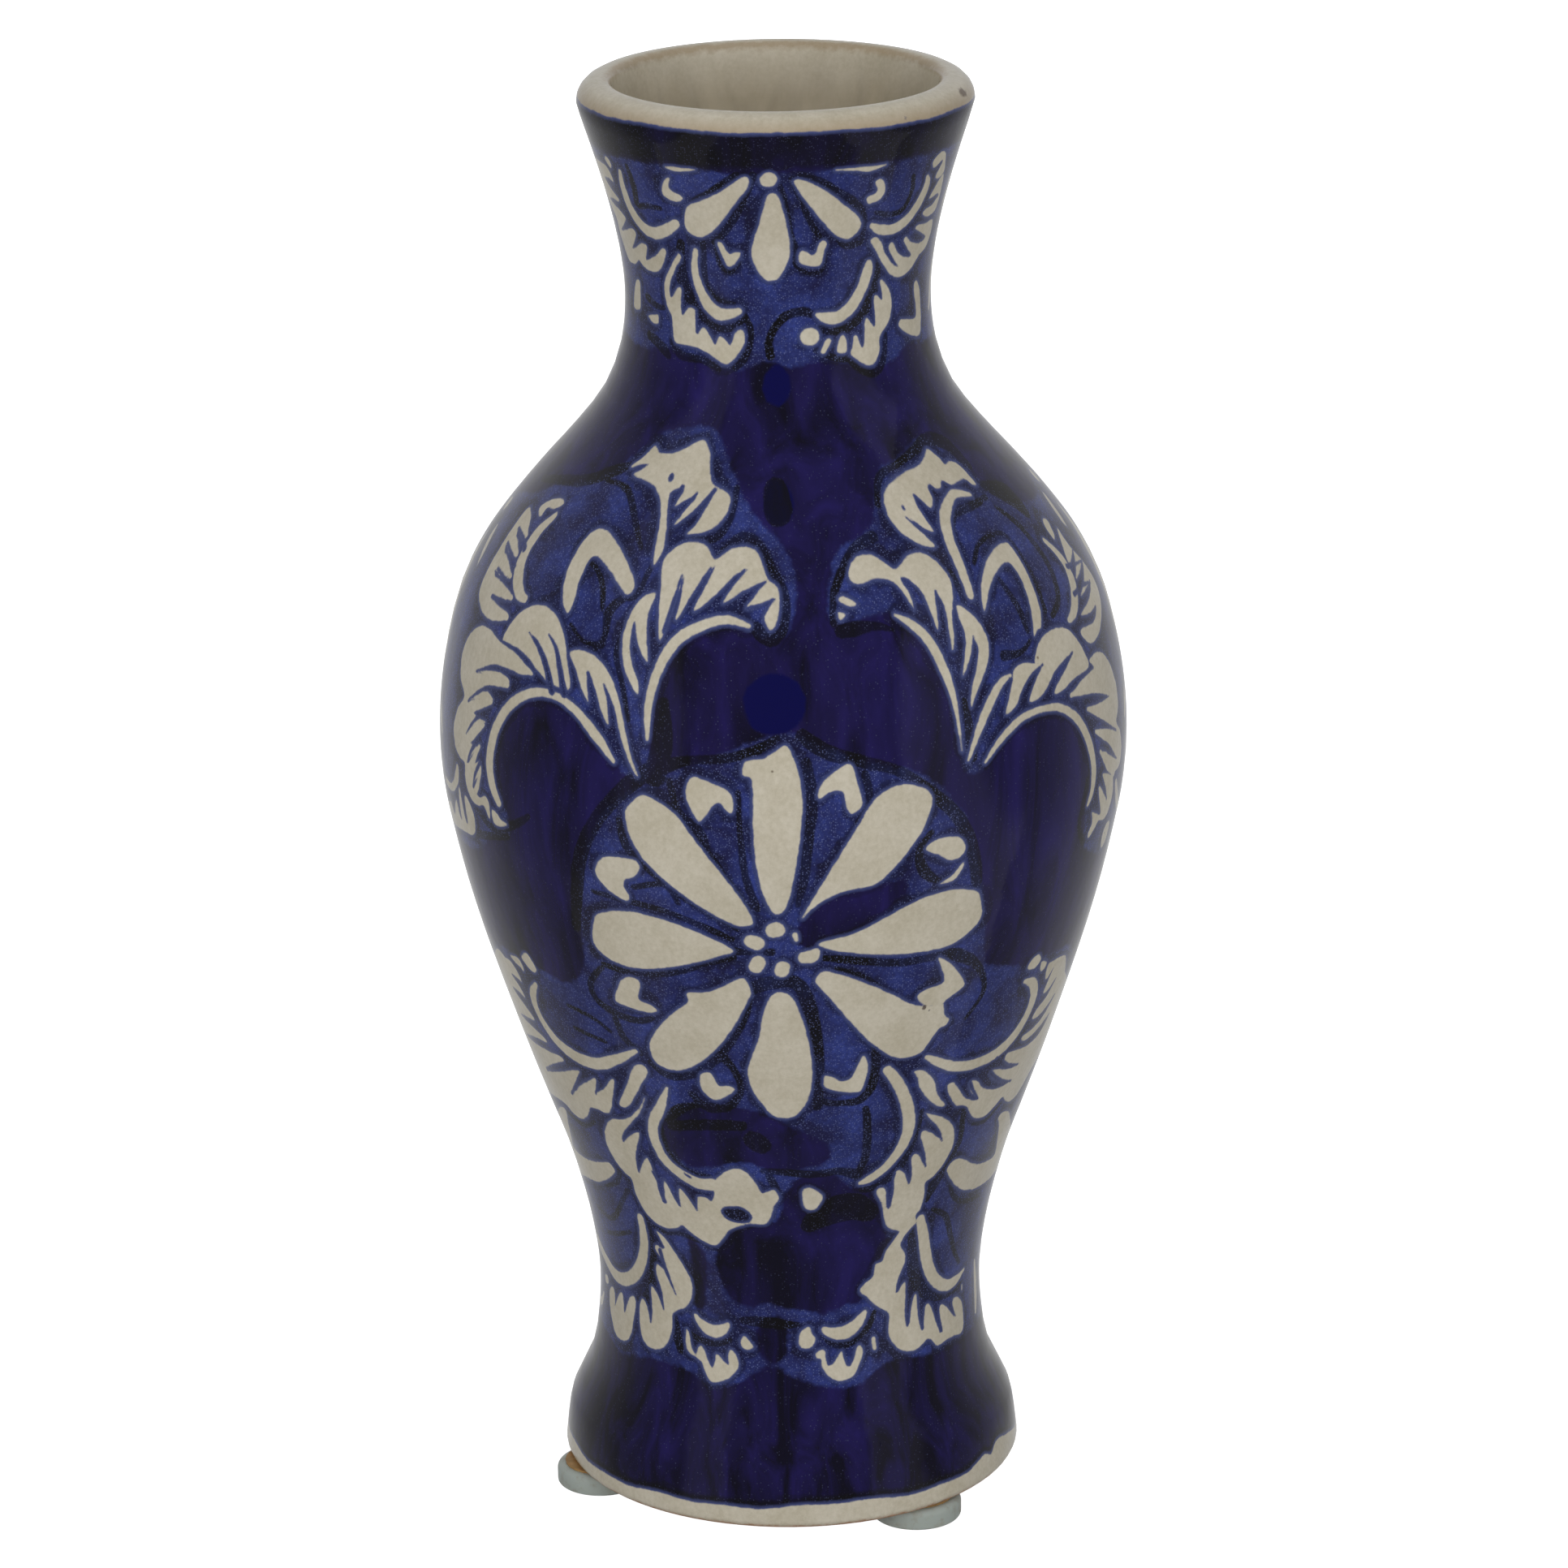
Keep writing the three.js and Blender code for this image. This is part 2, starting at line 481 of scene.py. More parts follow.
# %% Neck garland
WHITE["neck petals"] = [
    [(-8.3, 190.3), (-9, 190.9), (-11, 190.6), (-14.5, 189.4), (-19, 188), (-25, 186.8),
     (-29.5, 186), (-31.3, 184.8), (-32.1, 183), (-30.5, 182), (-27.5, 181.6), (-24.2, 181.9),
     (-20, 183.3), (-16, 185.3), (-12, 187.4), (-8.9, 189.1)],
    [(-2.2, 188.3), (-3.3, 187.6), (-4.5, 185.8), (-6.5, 183.2), (-8.7, 180.6), (-8.8, 179),
     (-7, 177.3), (-4.5, 176), (-2, 175.9), (0.5, 176.3), (3, 178), (4.3, 179.8), (4, 181.8),
     (3, 184), (1.8, 186), (0.7, 187.6), (-0.5, 188.4)],
    [(5.3, 190), (6.3, 190.4), (8.5, 190.2), (12.5, 189.2), (17, 187.9), (21.5, 186.3), (26, 184.8),
     (28.3, 183.8), (29, 182.8), (27.5, 181.8), (24.5, 181.2), (21.5, 181.5), (18, 182.6),
     (14, 184.5), (10, 186.6), (7, 188.5)],
]
WHITE["neck chevrons"] = [
    [(-34.5, 189.9), (-36.5, 189.5), (-38.5, 188.2), (-38.8, 187.2), (-37, 186.6), (-34, 186.3),
     (-31.8, 186.6), (-31.1, 187), (-32.5, 187.5), (-34.8, 187.8), (-35.7, 188.5)],
    [(-20.7, 180.9), (-19.2, 181.1), (-18, 180.2), (-16.5, 179.5), (-14.5, 179.8), (-12.6, 179.8),
     (-13.5, 178.9), (-15.5, 178), (-17.5, 177.7), (-19, 178.8)],
    [(7.2, 179.4), (7.8, 178.3), (10.5, 177.8), (14, 177.7), (15.5, 178.2), (16.2, 179.8),
     (16.9, 180.8), (15.5, 181.3), (14, 180.7), (13.3, 179.7), (11.8, 179.3), (9.5, 179.9),
     (8, 180)],
    [(29.7, 186.7), (30.5, 185.9), (33, 186), (35.5, 186.5), (36.3, 187.6), (35, 188.9),
     (33.2, 189.4), (31.9, 188.9), (33.3, 187.8), (32.3, 187.2), (30.8, 187.1)],
]
WHITE["neck left leaves"] = [
    [(-82, 189.2), (-76, 189.4), (-72, 189.4), (-67.5, 189.2), (-65.3, 188), (-65.5, 187),
     (-68.5, 187.3), (-73.5, 187), (-70, 185.8), (-65.2, 184.8), (-66, 184.2), (-70, 184.3),
     (-76, 184), (-72, 183.5), (-67, 183), (-63.6, 182.2), (-65, 181.5), (-68, 180.7), (-71, 179.9),
     (-66, 180.3), (-61, 180.9), (-58.3, 180.6), (-58.8, 179.9), (-61.5, 178.7), (-63.7, 177.9),
     (-60, 178.4), (-55.5, 179.2), (-52.8, 179), (-53.8, 177.8), (-54.6, 176.9), (-52, 177.3),
     (-48, 178), (-44.5, 179.2), (-42.5, 179), (-43.5, 177.8), (-46.5, 176.2), (-50, 175.5),
     (-54, 175.5), (-58, 176), (-60, 176.5), (-63, 175.8), (-67, 175.6), (-70.5, 176.1),
     (-73, 177.8), (-74.5, 179.3), (-74, 181.3), (-77, 182.6), (-80, 184), (-84, 186)],
    [(-35.8, 178.3), (-36.8, 178.9), (-39, 178), (-42.5, 176.2), (-45.5, 174.5), (-46.3, 172.7),
     (-45.2, 171), (-43, 169.7), (-42.7, 168), (-41.5, 166.4), (-38.5, 166.2), (-34.5, 166.2),
     (-30, 166), (-26.5, 165.5), (-23, 164.8), (-19.5, 164.2), (-17, 164.8), (-14.5, 165.8),
     (-12.7, 167), (-12.4, 168.4), (-13.8, 169.1), (-15.8, 168.6), (-17, 167.6), (-18, 166.8),
     (-19.8, 167.5), (-22, 168), (-23.3, 167.2), (-24, 166.8), (-25.8, 167.8), (-28, 168.9),
     (-29.5, 168.8), (-30.7, 168), (-32, 168.2), (-32.2, 170), (-32, 171.2), (-34.5, 171.4),
     (-36.3, 170.8), (-38, 170.2), (-38.5, 171.5), (-37.5, 173.7), (-39, 174), (-41, 173.2),
     (-43, 172.4), (-43.5, 173.5), (-41.5, 175.3), (-38.5, 177)],
    [(-69, 169.4), (-68, 171.5), (-65.5, 173.2), (-62.5, 173.6), (-61.7, 172.9), (-62.5, 171),
     (-63.3, 169.4)],
    [(-57, 169), (-53.5, 169.4), (-50.5, 169.5), (-50.7, 168.3), (-54, 168.3)],
    [(-66.5, 190.3), (-65, 190.9), (-63.2, 190.6), (-62.5, 189.8), (-63.8, 189.2), (-65.5, 189.7)],
]
WHITE["neck right leaves"] = [
    [(56.3, 190.1), (58, 191), (61, 191.4), (63.8, 190.8), (66, 189.3), (67.3, 187.9), (65, 187.2),
     (61.5, 187.3), (61.2, 188), (63, 189.4), (62.5, 189.9), (60, 189.4), (57.8, 189.2)],
    [(60.5, 184.6), (63, 186), (66.5, 187.4), (68.6, 187), (69.8, 185.2), (70, 184), (67, 184.8),
     (63.5, 184.6)],
    [(58.3, 182.7), (60, 183.2), (65, 183.5), (69.3, 184.5), (70.3, 183.4), (68.5, 182.2),
     (64.5, 181.9), (60.5, 182.1)],
    [(55.4, 180.8), (58, 181.2), (63, 181), (68, 181.1), (70, 180.3), (69.8, 178.8), (67.8, 177.5),
     (65, 176.9), (62, 176.6), (59.5, 175.8), (56, 174.9), (52, 174.4), (48, 174.5), (44.5, 175.2),
     (41.5, 176.4), (38.5, 177.8), (35.5, 179.4), (33.5, 180.5), (35.5, 180.9), (37.8, 180.3),
     (40.5, 178.6), (44.5, 176.8), (48.4, 176), (45.5, 177.3), (42.3, 178.8), (42.8, 179.7),
     (44.5, 179.5), (47, 178.2), (51, 177.2), (55.7, 177), (52.5, 178.3), (49.6, 179.5),
     (50.8, 180), (54.5, 179), (60, 178.4), (64.8, 178.9), (60.5, 179.8)],
    [(39.8, 174.4), (41, 174.6), (43.5, 173.7), (45.8, 172.3), (46.7, 170.8), (46, 169.2),
     (44, 168.2), (41.5, 167.4), (40, 166.5), (39.5, 164.9), (37.5, 163.8), (35, 163.3),
     (32, 163.6), (29, 164.4), (26.8, 165.2), (27.8, 166.2), (28.5, 167.3), (29.6, 167.6),
     (30.8, 166.8), (31.6, 165.9), (32.6, 166), (33.2, 167.5), (33.5, 169.2), (34.6, 169.7),
     (36.3, 169), (37.8, 168.4), (38.3, 169.5), (37.8, 171), (37.5, 172.2), (38.6, 172.6),
     (41.5, 171.8), (41, 173)],
    [(21.6, 166), (22.7, 167.4), (24, 167.9), (25.2, 167.4), (25.8, 166.2), (25.2, 165.5),
     (22.5, 165.5)],
    [(60.5, 172.5), (61.7, 173.1), (63.5, 172.8), (66, 171.5), (67.2, 169.5), (66.8, 167),
     (65.3, 165.6), (62.5, 165.3), (58, 165.8), (53.5, 166.7), (50.6, 167.7), (52, 168.4),
     (55.5, 168.2), (60.5, 167.9), (62.6, 168.2), (62.7, 169.5), (61.5, 171)],
]
WHITE_STROKES["neck"] = [
    [(-57.6, 189.2, 0.35), (-59, 187, 0.7), (-58.5, 184.8, 0.8), (-56, 182.9, 0.85),
     (-51.5, 181.5, 0.85), (-46, 181.2, 0.85), (-40, 182.1, 0.8), (-35.6, 183.2, 0.6)],
    [(-29.4, 179.6, 0.4), (-30.6, 177.5, 0.5), (-30.3, 175.5, 0.6), (-28.4, 173.4, 0.75),
     (-25.8, 171.9, 0.85), (-22.3, 171, 0.9), (-18, 171.1, 0.75), (-14.6, 171.5, 0.5)],
    [(33.2, 182.6, 0.4), (37, 181.9, 0.7), (42, 181.6, 0.75), (47, 182, 0.8), (51.5, 183.2, 0.8),
     (54.8, 184.9, 0.85), (56.5, 186.8, 0.75), (55.3, 188.1, 0.3)],
    [(14.3, 170.9, 0.3), (18, 170.4, 0.75), (22, 170.3, 0.85), (26.5, 171.2, 0.85),
     (30, 172.7, 0.85), (32.7, 174.7, 0.85), (33.9, 176.5, 0.8), (34, 177.3, 0.5)],
    [(-35, 191.5, 0.15), (-31, 191.4, 0.35), (-25, 191.6, 0.1)],
    [(18, 191.6, 0.1), (25, 191.4, 0.3), (29, 191.2, 0.4), (34.5, 191.5, 0.15)],
    [(-2.6, 190.4, 1.1), (-2.2, 190.6, 1.1)],
    [(11.2, 168, 1.2), (11.8, 168, 1.2)],
    [(16.3, 165.9, 0.35), (18.4, 167.2, 0.4)],
]
print("neck garland:", sum(map(len, WHITE.values())))

# %% Shoulder palmettes
WHITE["palmette left"] = [
    [(-44.4, 150.4), (-41.5, 152), (-39.5, 153.3), (-36.5, 152.5), (-31, 153), (-26.5, 154.2),
     (-23.5, 154.6), (-20.8, 153.2), (-19.2, 150.8), (-17.3, 149.7), (-14, 149.1), (-12.4, 148.1),
     (-13.6, 146), (-16.5, 144.7), (-21.2, 144.1), (-19.6, 145.4), (-16.9, 149), (-18.5, 148.4),
     (-20.6, 146.9), (-24.9, 145), (-23.2, 146.8), (-21.4, 148.3), (-24, 147.9), (-26.3, 147),
     (-25.4, 149), (-28.6, 148.6), (-28.5, 147.3), (-26.8, 144.8), (-25.8, 142.3), (-26.8, 140.3),
     (-27.8, 142.3), (-28.6, 144.8), (-30, 146.8), (-32.5, 148.3), (-36, 149.2), (-42, 149.6),
     (-41, 150.2), (-38.8, 151.1), (-41.5, 150.9)],
    [(-25, 141), (-22.5, 142.8), (-19, 143.4), (-16, 142.9), (-13.8, 141.6), (-11, 142.7),
     (-7.5, 143.1), (-4.8, 142.3), (-2.8, 139.6), (-0.8, 138.6), (-0.4, 136.8), (-1, 134.4),
     (-2.2, 133.7), (-3.2, 135.2), (-1.4, 137.3), (-3.5, 136.9), (-6.6, 136.2), (-4.6, 138),
     (-3, 139.3), (-7, 138.3), (-11.1, 136.7), (-9, 139), (-6.8, 140.6), (-9.5, 139.8),
     (-13, 137.4), (-16.5, 135.6), (-15, 138.4), (-13.7, 140.8), (-16.3, 138.6), (-19.6, 134.4),
     (-19.4, 137), (-19.8, 139.5), (-20.6, 136), (-22, 131.8), (-23.2, 135), (-24, 138)],
    [(-25, 124.9), (-27.8, 127.8), (-29.3, 131.5), (-28.6, 135), (-26.6, 136.9), (-24.6, 137.1),
     (-25.3, 134.8), (-24.6, 131.8), (-23.8, 129.1), (-26, 131), (-27.6, 133.7), (-27.7, 131),
     (-26.5, 128.5), (-25.1, 126.5)],
    [(-42.6, 133.2), (-45, 134.8), (-46.9, 138), (-46.6, 141.3), (-44.6, 143), (-41, 143.1),
     (-35.5, 141.4), (-31, 139), (-29.6, 137.6), (-31, 136.7), (-35.3, 138.6), (-40, 140.1),
     (-42.3, 139.9), (-42.7, 137.5), (-42, 134.8)],
    [(-68, 143.2), (-65.5, 144.4), (-62, 144.9), (-59.6, 144.6), (-62, 143.6), (-64.8, 143.4),
     (-65, 142.3), (-66.8, 142.4)],
    [(-73.6, 142), (-70, 142), (-67, 140.8), (-65.6, 139.3), (-68.5, 139.6), (-71, 140.1),
     (-68, 138.3), (-65, 137.2), (-68.5, 137.3), (-71.7, 137.8), (-68, 136.2), (-63.2, 134.7),
     (-66.5, 134.5), (-69.8, 134.6), (-66, 133.4), (-60.3, 132.6), (-62.5, 131.9), (-66.3, 131.7),
     (-62, 131.2), (-58, 130.9), (-59.3, 129.7), (-65, 129.2), (-70, 130.2), (-72.8, 132.2),
     (-73.4, 137)],
    [(-57.3, 127.5), (-56.4, 129.8), (-54.4, 131.8), (-51.5, 133), (-48, 133.3), (-44.5, 132.4),
     (-41.6, 130.4), (-39.9, 127.8), (-38.2, 124.3), (-40.4, 124), (-43, 124.3), (-45.5, 125),
     (-48.5, 126.5), (-52, 127.3), (-55.5, 127.5)],
    [(-39.6, 128.6), (-37.5, 129.2), (-34.8, 129), (-31.8, 127.8), (-28.9, 125), (-27, 121),
     (-25.6, 117.5), (-24, 114.2), (-25.4, 115.6), (-27.4, 119.2), (-29, 122.8), (-31.4, 125.6),
     (-30.5, 123.5), (-29.8, 120.4), (-31.5, 122.2), (-33.2, 125), (-35, 126.9), (-34.8, 125),
     (-34.1, 122.9), (-35.9, 124.6), (-37.8, 127)],
    [(-47, 124.7), (-50, 125.9), (-54, 127), (-58, 127.3), (-63, 128.2), (-67, 127.6),
     (-70.2, 125.6), (-71.6, 122.8), (-70.3, 120), (-67.2, 118), (-69.8, 115.7), (-71.1, 113),
     (-70, 110.5), (-67.5, 109.3), (-65.2, 109), (-65.3, 106.8), (-63.7, 104.6), (-61, 103.9),
     (-58.6, 104.4), (-57.1, 102.8), (-56.7, 105), (-58, 106), (-60, 105.3), (-62.3, 106.3),
     (-60.9, 107.6), (-59, 108.8), (-59.4, 110.5), (-61.5, 109.8), (-64.4, 109.3), (-62, 111),
     (-59.6, 112.4), (-62, 112.3), (-65.2, 112.8), (-62, 114.5), (-58.2, 116.3), (-61.5, 116.4),
     (-65.6, 117.7), (-61, 118.8), (-56.7, 119.5), (-59.5, 120.6), (-64, 122), (-59, 122.3),
     (-54.5, 122.1), (-52.8, 122.7), (-54.5, 123.4), (-59.5, 123.3), (-64, 122.2), (-58, 124.2),
     (-52, 124.2)],
    [(-56, 104.4), (-54.5, 104.2), (-53.4, 103.5), (-51.8, 103.2), (-54, 102.4), (-55.9, 102.6)],
    [(-66.3, 103.9), (-64.8, 103.9), (-63, 102.3), (-63, 100.4), (-65, 98.6), (-70, 98),
     (-76, 97.2), (-82, 96.4), (-90, 96.2), (-100, 96.2), (-100, 99.3), (-90, 99.3), (-84, 99.5),
     (-78, 100.3), (-76, 100.8), (-74.5, 99.3), (-72, 101.8), (-71, 102.2), (-70.4, 100.2),
     (-69.6, 100), (-69, 104.2), (-68.2, 104.3), (-67.3, 100.3), (-66.4, 100.3)],
]
WHITE["palmette right"] = [
    [(25.6, 146.2), (26.6, 148.2), (30, 149.3), (35, 150.1), (41, 150.6), (44.3, 151.4),
     (46.5, 152), (48.6, 150.8), (49.5, 149.9), (52, 150), (54.4, 149.2), (55.7, 147),
     (54.2, 146.9), (52.8, 147.8), (50, 147.7), (47.2, 147.6), (45, 148.3), (43.5, 147.6),
     (41.8, 147.6), (40.8, 148.3), (39.6, 148), (39.2, 146.6), (37.4, 145.8), (35.6, 147),
     (34.3, 147.2), (34.2, 145.7), (35.4, 143.2), (33, 143.9), (30.9, 145.1), (32.3, 143.4),
     (34, 141.6), (31, 142), (28, 143.3), (26.3, 144.7)],
    [(13.4, 139.6), (14.8, 141.2), (17.2, 141.8), (20, 141.4), (22.6, 140), (24, 139.9),
     (26.8, 141), (30, 141.2), (32.8, 140), (34.4, 137.8), (33.6, 135.6), (32.2, 133.4),
     (31.6, 131), (30.6, 129.5), (30.9, 132.5), (31.3, 134.8), (30.3, 136.5), (29.5, 134.6),
     (28.7, 132.2), (28.2, 134.2), (27.5, 136.8), (25.5, 138.5), (23.8, 138.7), (24.8, 137),
     (25, 135), (23.7, 137), (22, 138.5), (18.5, 139), (16, 138.5), (14.2, 138.7)],
    [(10.8, 136.9), (11.8, 137.3), (14, 136.3), (12.5, 136.1)],
    [(10.4, 135.5), (11.8, 135.2), (10.6, 134.6)],
    [(33.7, 134.5), (35, 134.3), (37.2, 132.5), (38.3, 130.2), (37.5, 127.5), (35.5, 125.2),
     (33.6, 123.2), (32.5, 121.8), (33, 124), (34.6, 126.5), (35.8, 128.8), (35.4, 130.5),
     (34, 128.4), (31.7, 126), (32.8, 128.5), (33.9, 131), (33.6, 133)],
    [(39.4, 133.2), (40.5, 135.8), (43.5, 138), (48, 139.6), (52.5, 140), (53.9, 139), (54, 135.5),
     (53.2, 131.5), (51.8, 129.5), (50.5, 129.2), (49.2, 128.7), (50.8, 132), (51.5, 135),
     (51.2, 137.2), (49.8, 137.9), (46, 137.2), (42.5, 135.6)],
    [(39.3, 119.9), (40.4, 121.8), (41.8, 124), (42.6, 125.4), (45, 125.8), (47.8, 125.3),
     (49.8, 124.9), (47, 124.2), (44, 122.8), (41.8, 120.7)],
    [(47.8, 125.3), (49, 127), (51.5, 128.2), (55, 128.6), (58.5, 128.1), (61, 126.5),
     (62.8, 124.3), (63.8, 122.2), (62, 121.5), (58, 121.4), (54, 120.6), (51.4, 120.6),
     (53, 121.8), (56, 123.2), (58.9, 124.6), (56, 124.3), (52.5, 123.3), (49.5, 121.6),
     (47.5, 120.8), (44.9, 120.7), (46.8, 122.8), (49.6, 124.8)],
    [(56, 119.4), (60, 120.6), (65.2, 121.3), (64.2, 122.4), (67, 122.9), (70.5, 122.2),
     (73.5, 120), (75.3, 116.8), (74.9, 113.6), (72.9, 111.9), (75.3, 110), (76.2, 107.3),
     (74.8, 105.2), (71, 104.8), (71.5, 102.2), (70.4, 99.9), (68, 99), (65.3, 99.5), (64, 98.7),
     (62, 97.8), (61.4, 98.6), (62.4, 99.8), (61.7, 101.6), (63.2, 101.2), (65.6, 100.4),
     (64.8, 102.2), (63.9, 104.2), (65.6, 103.6), (68.2, 101.8), (66.8, 104), (65.1, 106.3),
     (67.5, 105.8), (70.8, 104.9), (67, 107.7), (64.2, 109.8), (67.5, 108.8), (72.4, 106.7),
     (68, 110), (62.8, 112.9), (66.5, 112.5), (72.6, 110.8), (66, 113.8), (60.3, 116.5),
     (64.5, 116.4), (69.8, 116.3), (64, 118), (58.5, 118.8)],
    [(69.4, 96.4), (70.8, 97.8), (72.6, 97.6), (73.4, 96), (72.4, 94.4), (70.4, 94.2)],
    [(70.1, 137.6), (71.5, 138), (73.3, 139.5), (72.5, 140.2), (71, 140), (70, 139)],
    [(75.4, 138.3), (73, 137.3), (70, 134.7), (73, 134.8), (76, 135.4), (73, 133.9), (69.7, 132.5),
     (73, 132.8), (77.8, 133.6), (73.5, 131.8), (68.4, 130.5), (72, 130.6), (76.4, 131.1),
     (72.5, 129.6), (65.6, 128.5), (69.5, 127.9), (73.9, 128), (70, 126.6), (63.7, 126.8),
     (64.5, 125.2), (66.8, 124.3), (71, 124.7), (75, 126.2), (78.5, 128.2), (79.4, 130.5),
     (78, 133.2), (75.8, 135.3), (75.2, 136.9)],
]
WHITE_STROKES["palmettes"] = [
    [(-22.6, 119.2, 0.25), (-22.8, 123.5, 0.55), (-21.7, 128, 0.65), (-19.1, 131.8, 0.75),
     (-15.1, 133.8, 0.65), (-10, 134.8, 0.5), (-6, 134.1, 0.3)],
    [(-60, 143, 0.5), (-62.3, 140.5, 0.95), (-62, 137.5, 1), (-59.5, 135, 1), (-56.8, 133.6, 0.75),
     (-54.8, 133.3, 0.5)],
    [(-28.4, 115.7, 0.25), (-31.5, 118.4, 0.7), (-36, 121.3, 0.6), (-41, 122.8, 0.5),
     (-46.5, 122.4, 0.62), (-51.5, 120, 0.75), (-55, 116, 0.85), (-56.3, 111.5, 0.9),
     (-55.6, 108.3, 0.85), (-53.8, 105.9, 0.65)],
    [(21, 134.6, 0.2), (24, 133.2, 0.55), (26.5, 131, 0.65), (28.2, 127.5, 0.65),
     (29.4, 123.5, 0.45), (29.8, 119, 0.2), (29.9, 116.5, 0.12)],
    [(37.6, 135.5, 0.6), (38, 139, 0.75), (38.3, 142, 0.8), (40, 144.4, 0.8), (43.5, 146, 0.6),
     (47, 146.6, 0.5), (51.3, 146, 0.25)],
    [(31, 115, 0.15), (33.4, 118.6, 0.55), (36.4, 122, 0.65), (39.4, 124.2, 0.5),
     (41.5, 124.7, 0.25)],
    [(34.2, 114.3, 0.2), (37.5, 116.7, 0.45), (42, 118.7, 0.5), (47, 119.2, 0.45),
     (52, 118.6, 0.55), (56.4, 116.4, 0.65), (59.5, 113, 0.75), (61.2, 109.4, 0.75),
     (61.5, 106.5, 0.7), (60.8, 104.4, 0.55), (59.7, 103.2, 0.3)],
    [(66, 138.2, 0.4), (68, 136, 0.7), (68.2, 133.5, 0.9), (66, 131, 0.9), (63, 129.2, 0.7),
     (60.6, 128.7, 0.4)],
    [(-78, 103.4, 0.6), (-74, 103.4, 0.6), (-71, 104.6, 0.7), (-69.3, 106.3, 0.8),
     (-68.8, 107.5, 0.5)],
    [(73, 103.2, 0.5), (75, 101, 0.7), (78, 98.8, 0.7), (82, 97.6, 0.7), (90, 97.2, 0.7),
     (100, 97.2, 0.7)],
]
print("shoulder palmettes:", len(WHITE["palmette left"]), len(WHITE["palmette right"]))

# %% Rosette
WHITE["rosette petals"] = [
    [(-2, 95.9), (-3.5, 98.5), (-4.6, 103), (-5, 108), (-4.9, 112), (-5.2, 114.8), (-6.6, 115.4),
     (-6.4, 117), (-5, 117.4), (-3, 117.6), (-1.5, 118.4), (0.3, 119.3), (1.5, 117.8), (2.5, 115),
     (2.9, 111.5), (2.5, 107), (1.6, 102), (0.6, 98), (-0.4, 96.1)],
    [(2.7, 95.1), (5.2, 99), (8.7, 104), (12, 108.5), (14.5, 111.5), (18, 113.1), (21, 112.9),
     (23.3, 112), (24.2, 110.5), (22.8, 107), (20, 103.8), (17, 101), (14.3, 99.4), (10.5, 99),
     (7.5, 98.2), (4.8, 96.8)],
    [(5.5, 90.9), (6.5, 91.5), (8.5, 91.8), (12, 92.5), (17, 94.4), (21.5, 96.1), (26, 97),
     (30, 96.9), (33.5, 96), (34.5, 94.6), (35.2, 92.2), (34, 90.6), (31, 89), (27, 88.3),
     (20, 88.4), (13, 89.1), (8, 90)],
    [(5, 85.2), (6.2, 86.8), (9, 86.3), (14, 84.5), (19, 82.3), (23, 80.3), (25.5, 79.6),
     (28, 79.4), (30, 79.2), (30.7, 77.5), (32, 76.6), (31.6, 75.7), (30, 75.3), (28.5, 73.5),
     (27, 72), (24, 71.5), (21, 72), (18, 73.6), (14.5, 76), (11, 79.2), (7.5, 82.8)],
    [(-0.6, 83.7), (1, 82.8), (2.5, 80), (3.8, 76.5), (4.7, 72.5), (4.8, 69), (4, 66), (2, 63.9),
     (-0.5, 63.1), (-3.5, 63.9), (-5.8, 66), (-7.4, 68.5), (-7.8, 71), (-6.5, 74), (-5, 77),
     (-4.4, 80), (-3.2, 82.5), (-2, 83.6)],
    [(-7.3, 85.8), (-6.3, 83.7), (-7, 82.3), (-9.5, 78.5), (-13, 74.8), (-17, 72), (-21, 70.3),
     (-25, 70.2), (-27.3, 71.5), (-27.3, 74), (-26, 75.6), (-23.5, 77.8), (-20.5, 80), (-18, 81.5),
     (-17.8, 83), (-14.5, 83.3), (-11.5, 84.3), (-9, 85.5)],
    [(-9, 89.9), (-10.5, 91), (-15, 92.6), (-20, 93.9), (-25.5, 94.6), (-30, 94.3), (-33.5, 93.2),
     (-34.6, 91.5), (-35.3, 89), (-34, 87.3), (-31, 86.2), (-27, 85.9), (-22, 86.5), (-16, 87.8),
     (-11.5, 89.1)],
    [(-5.4, 94.7), (-6.9, 97.5), (-10.2, 101.5), (-14.3, 106), (-17.5, 109.5), (-21.5, 111.5),
     (-23.5, 111.7), (-25.2, 110.4), (-26.3, 109), (-25.5, 106), (-23.5, 103), (-20, 100.2),
     (-15.5, 97.3), (-11, 95), (-8, 93.9), (-6, 94)],
]
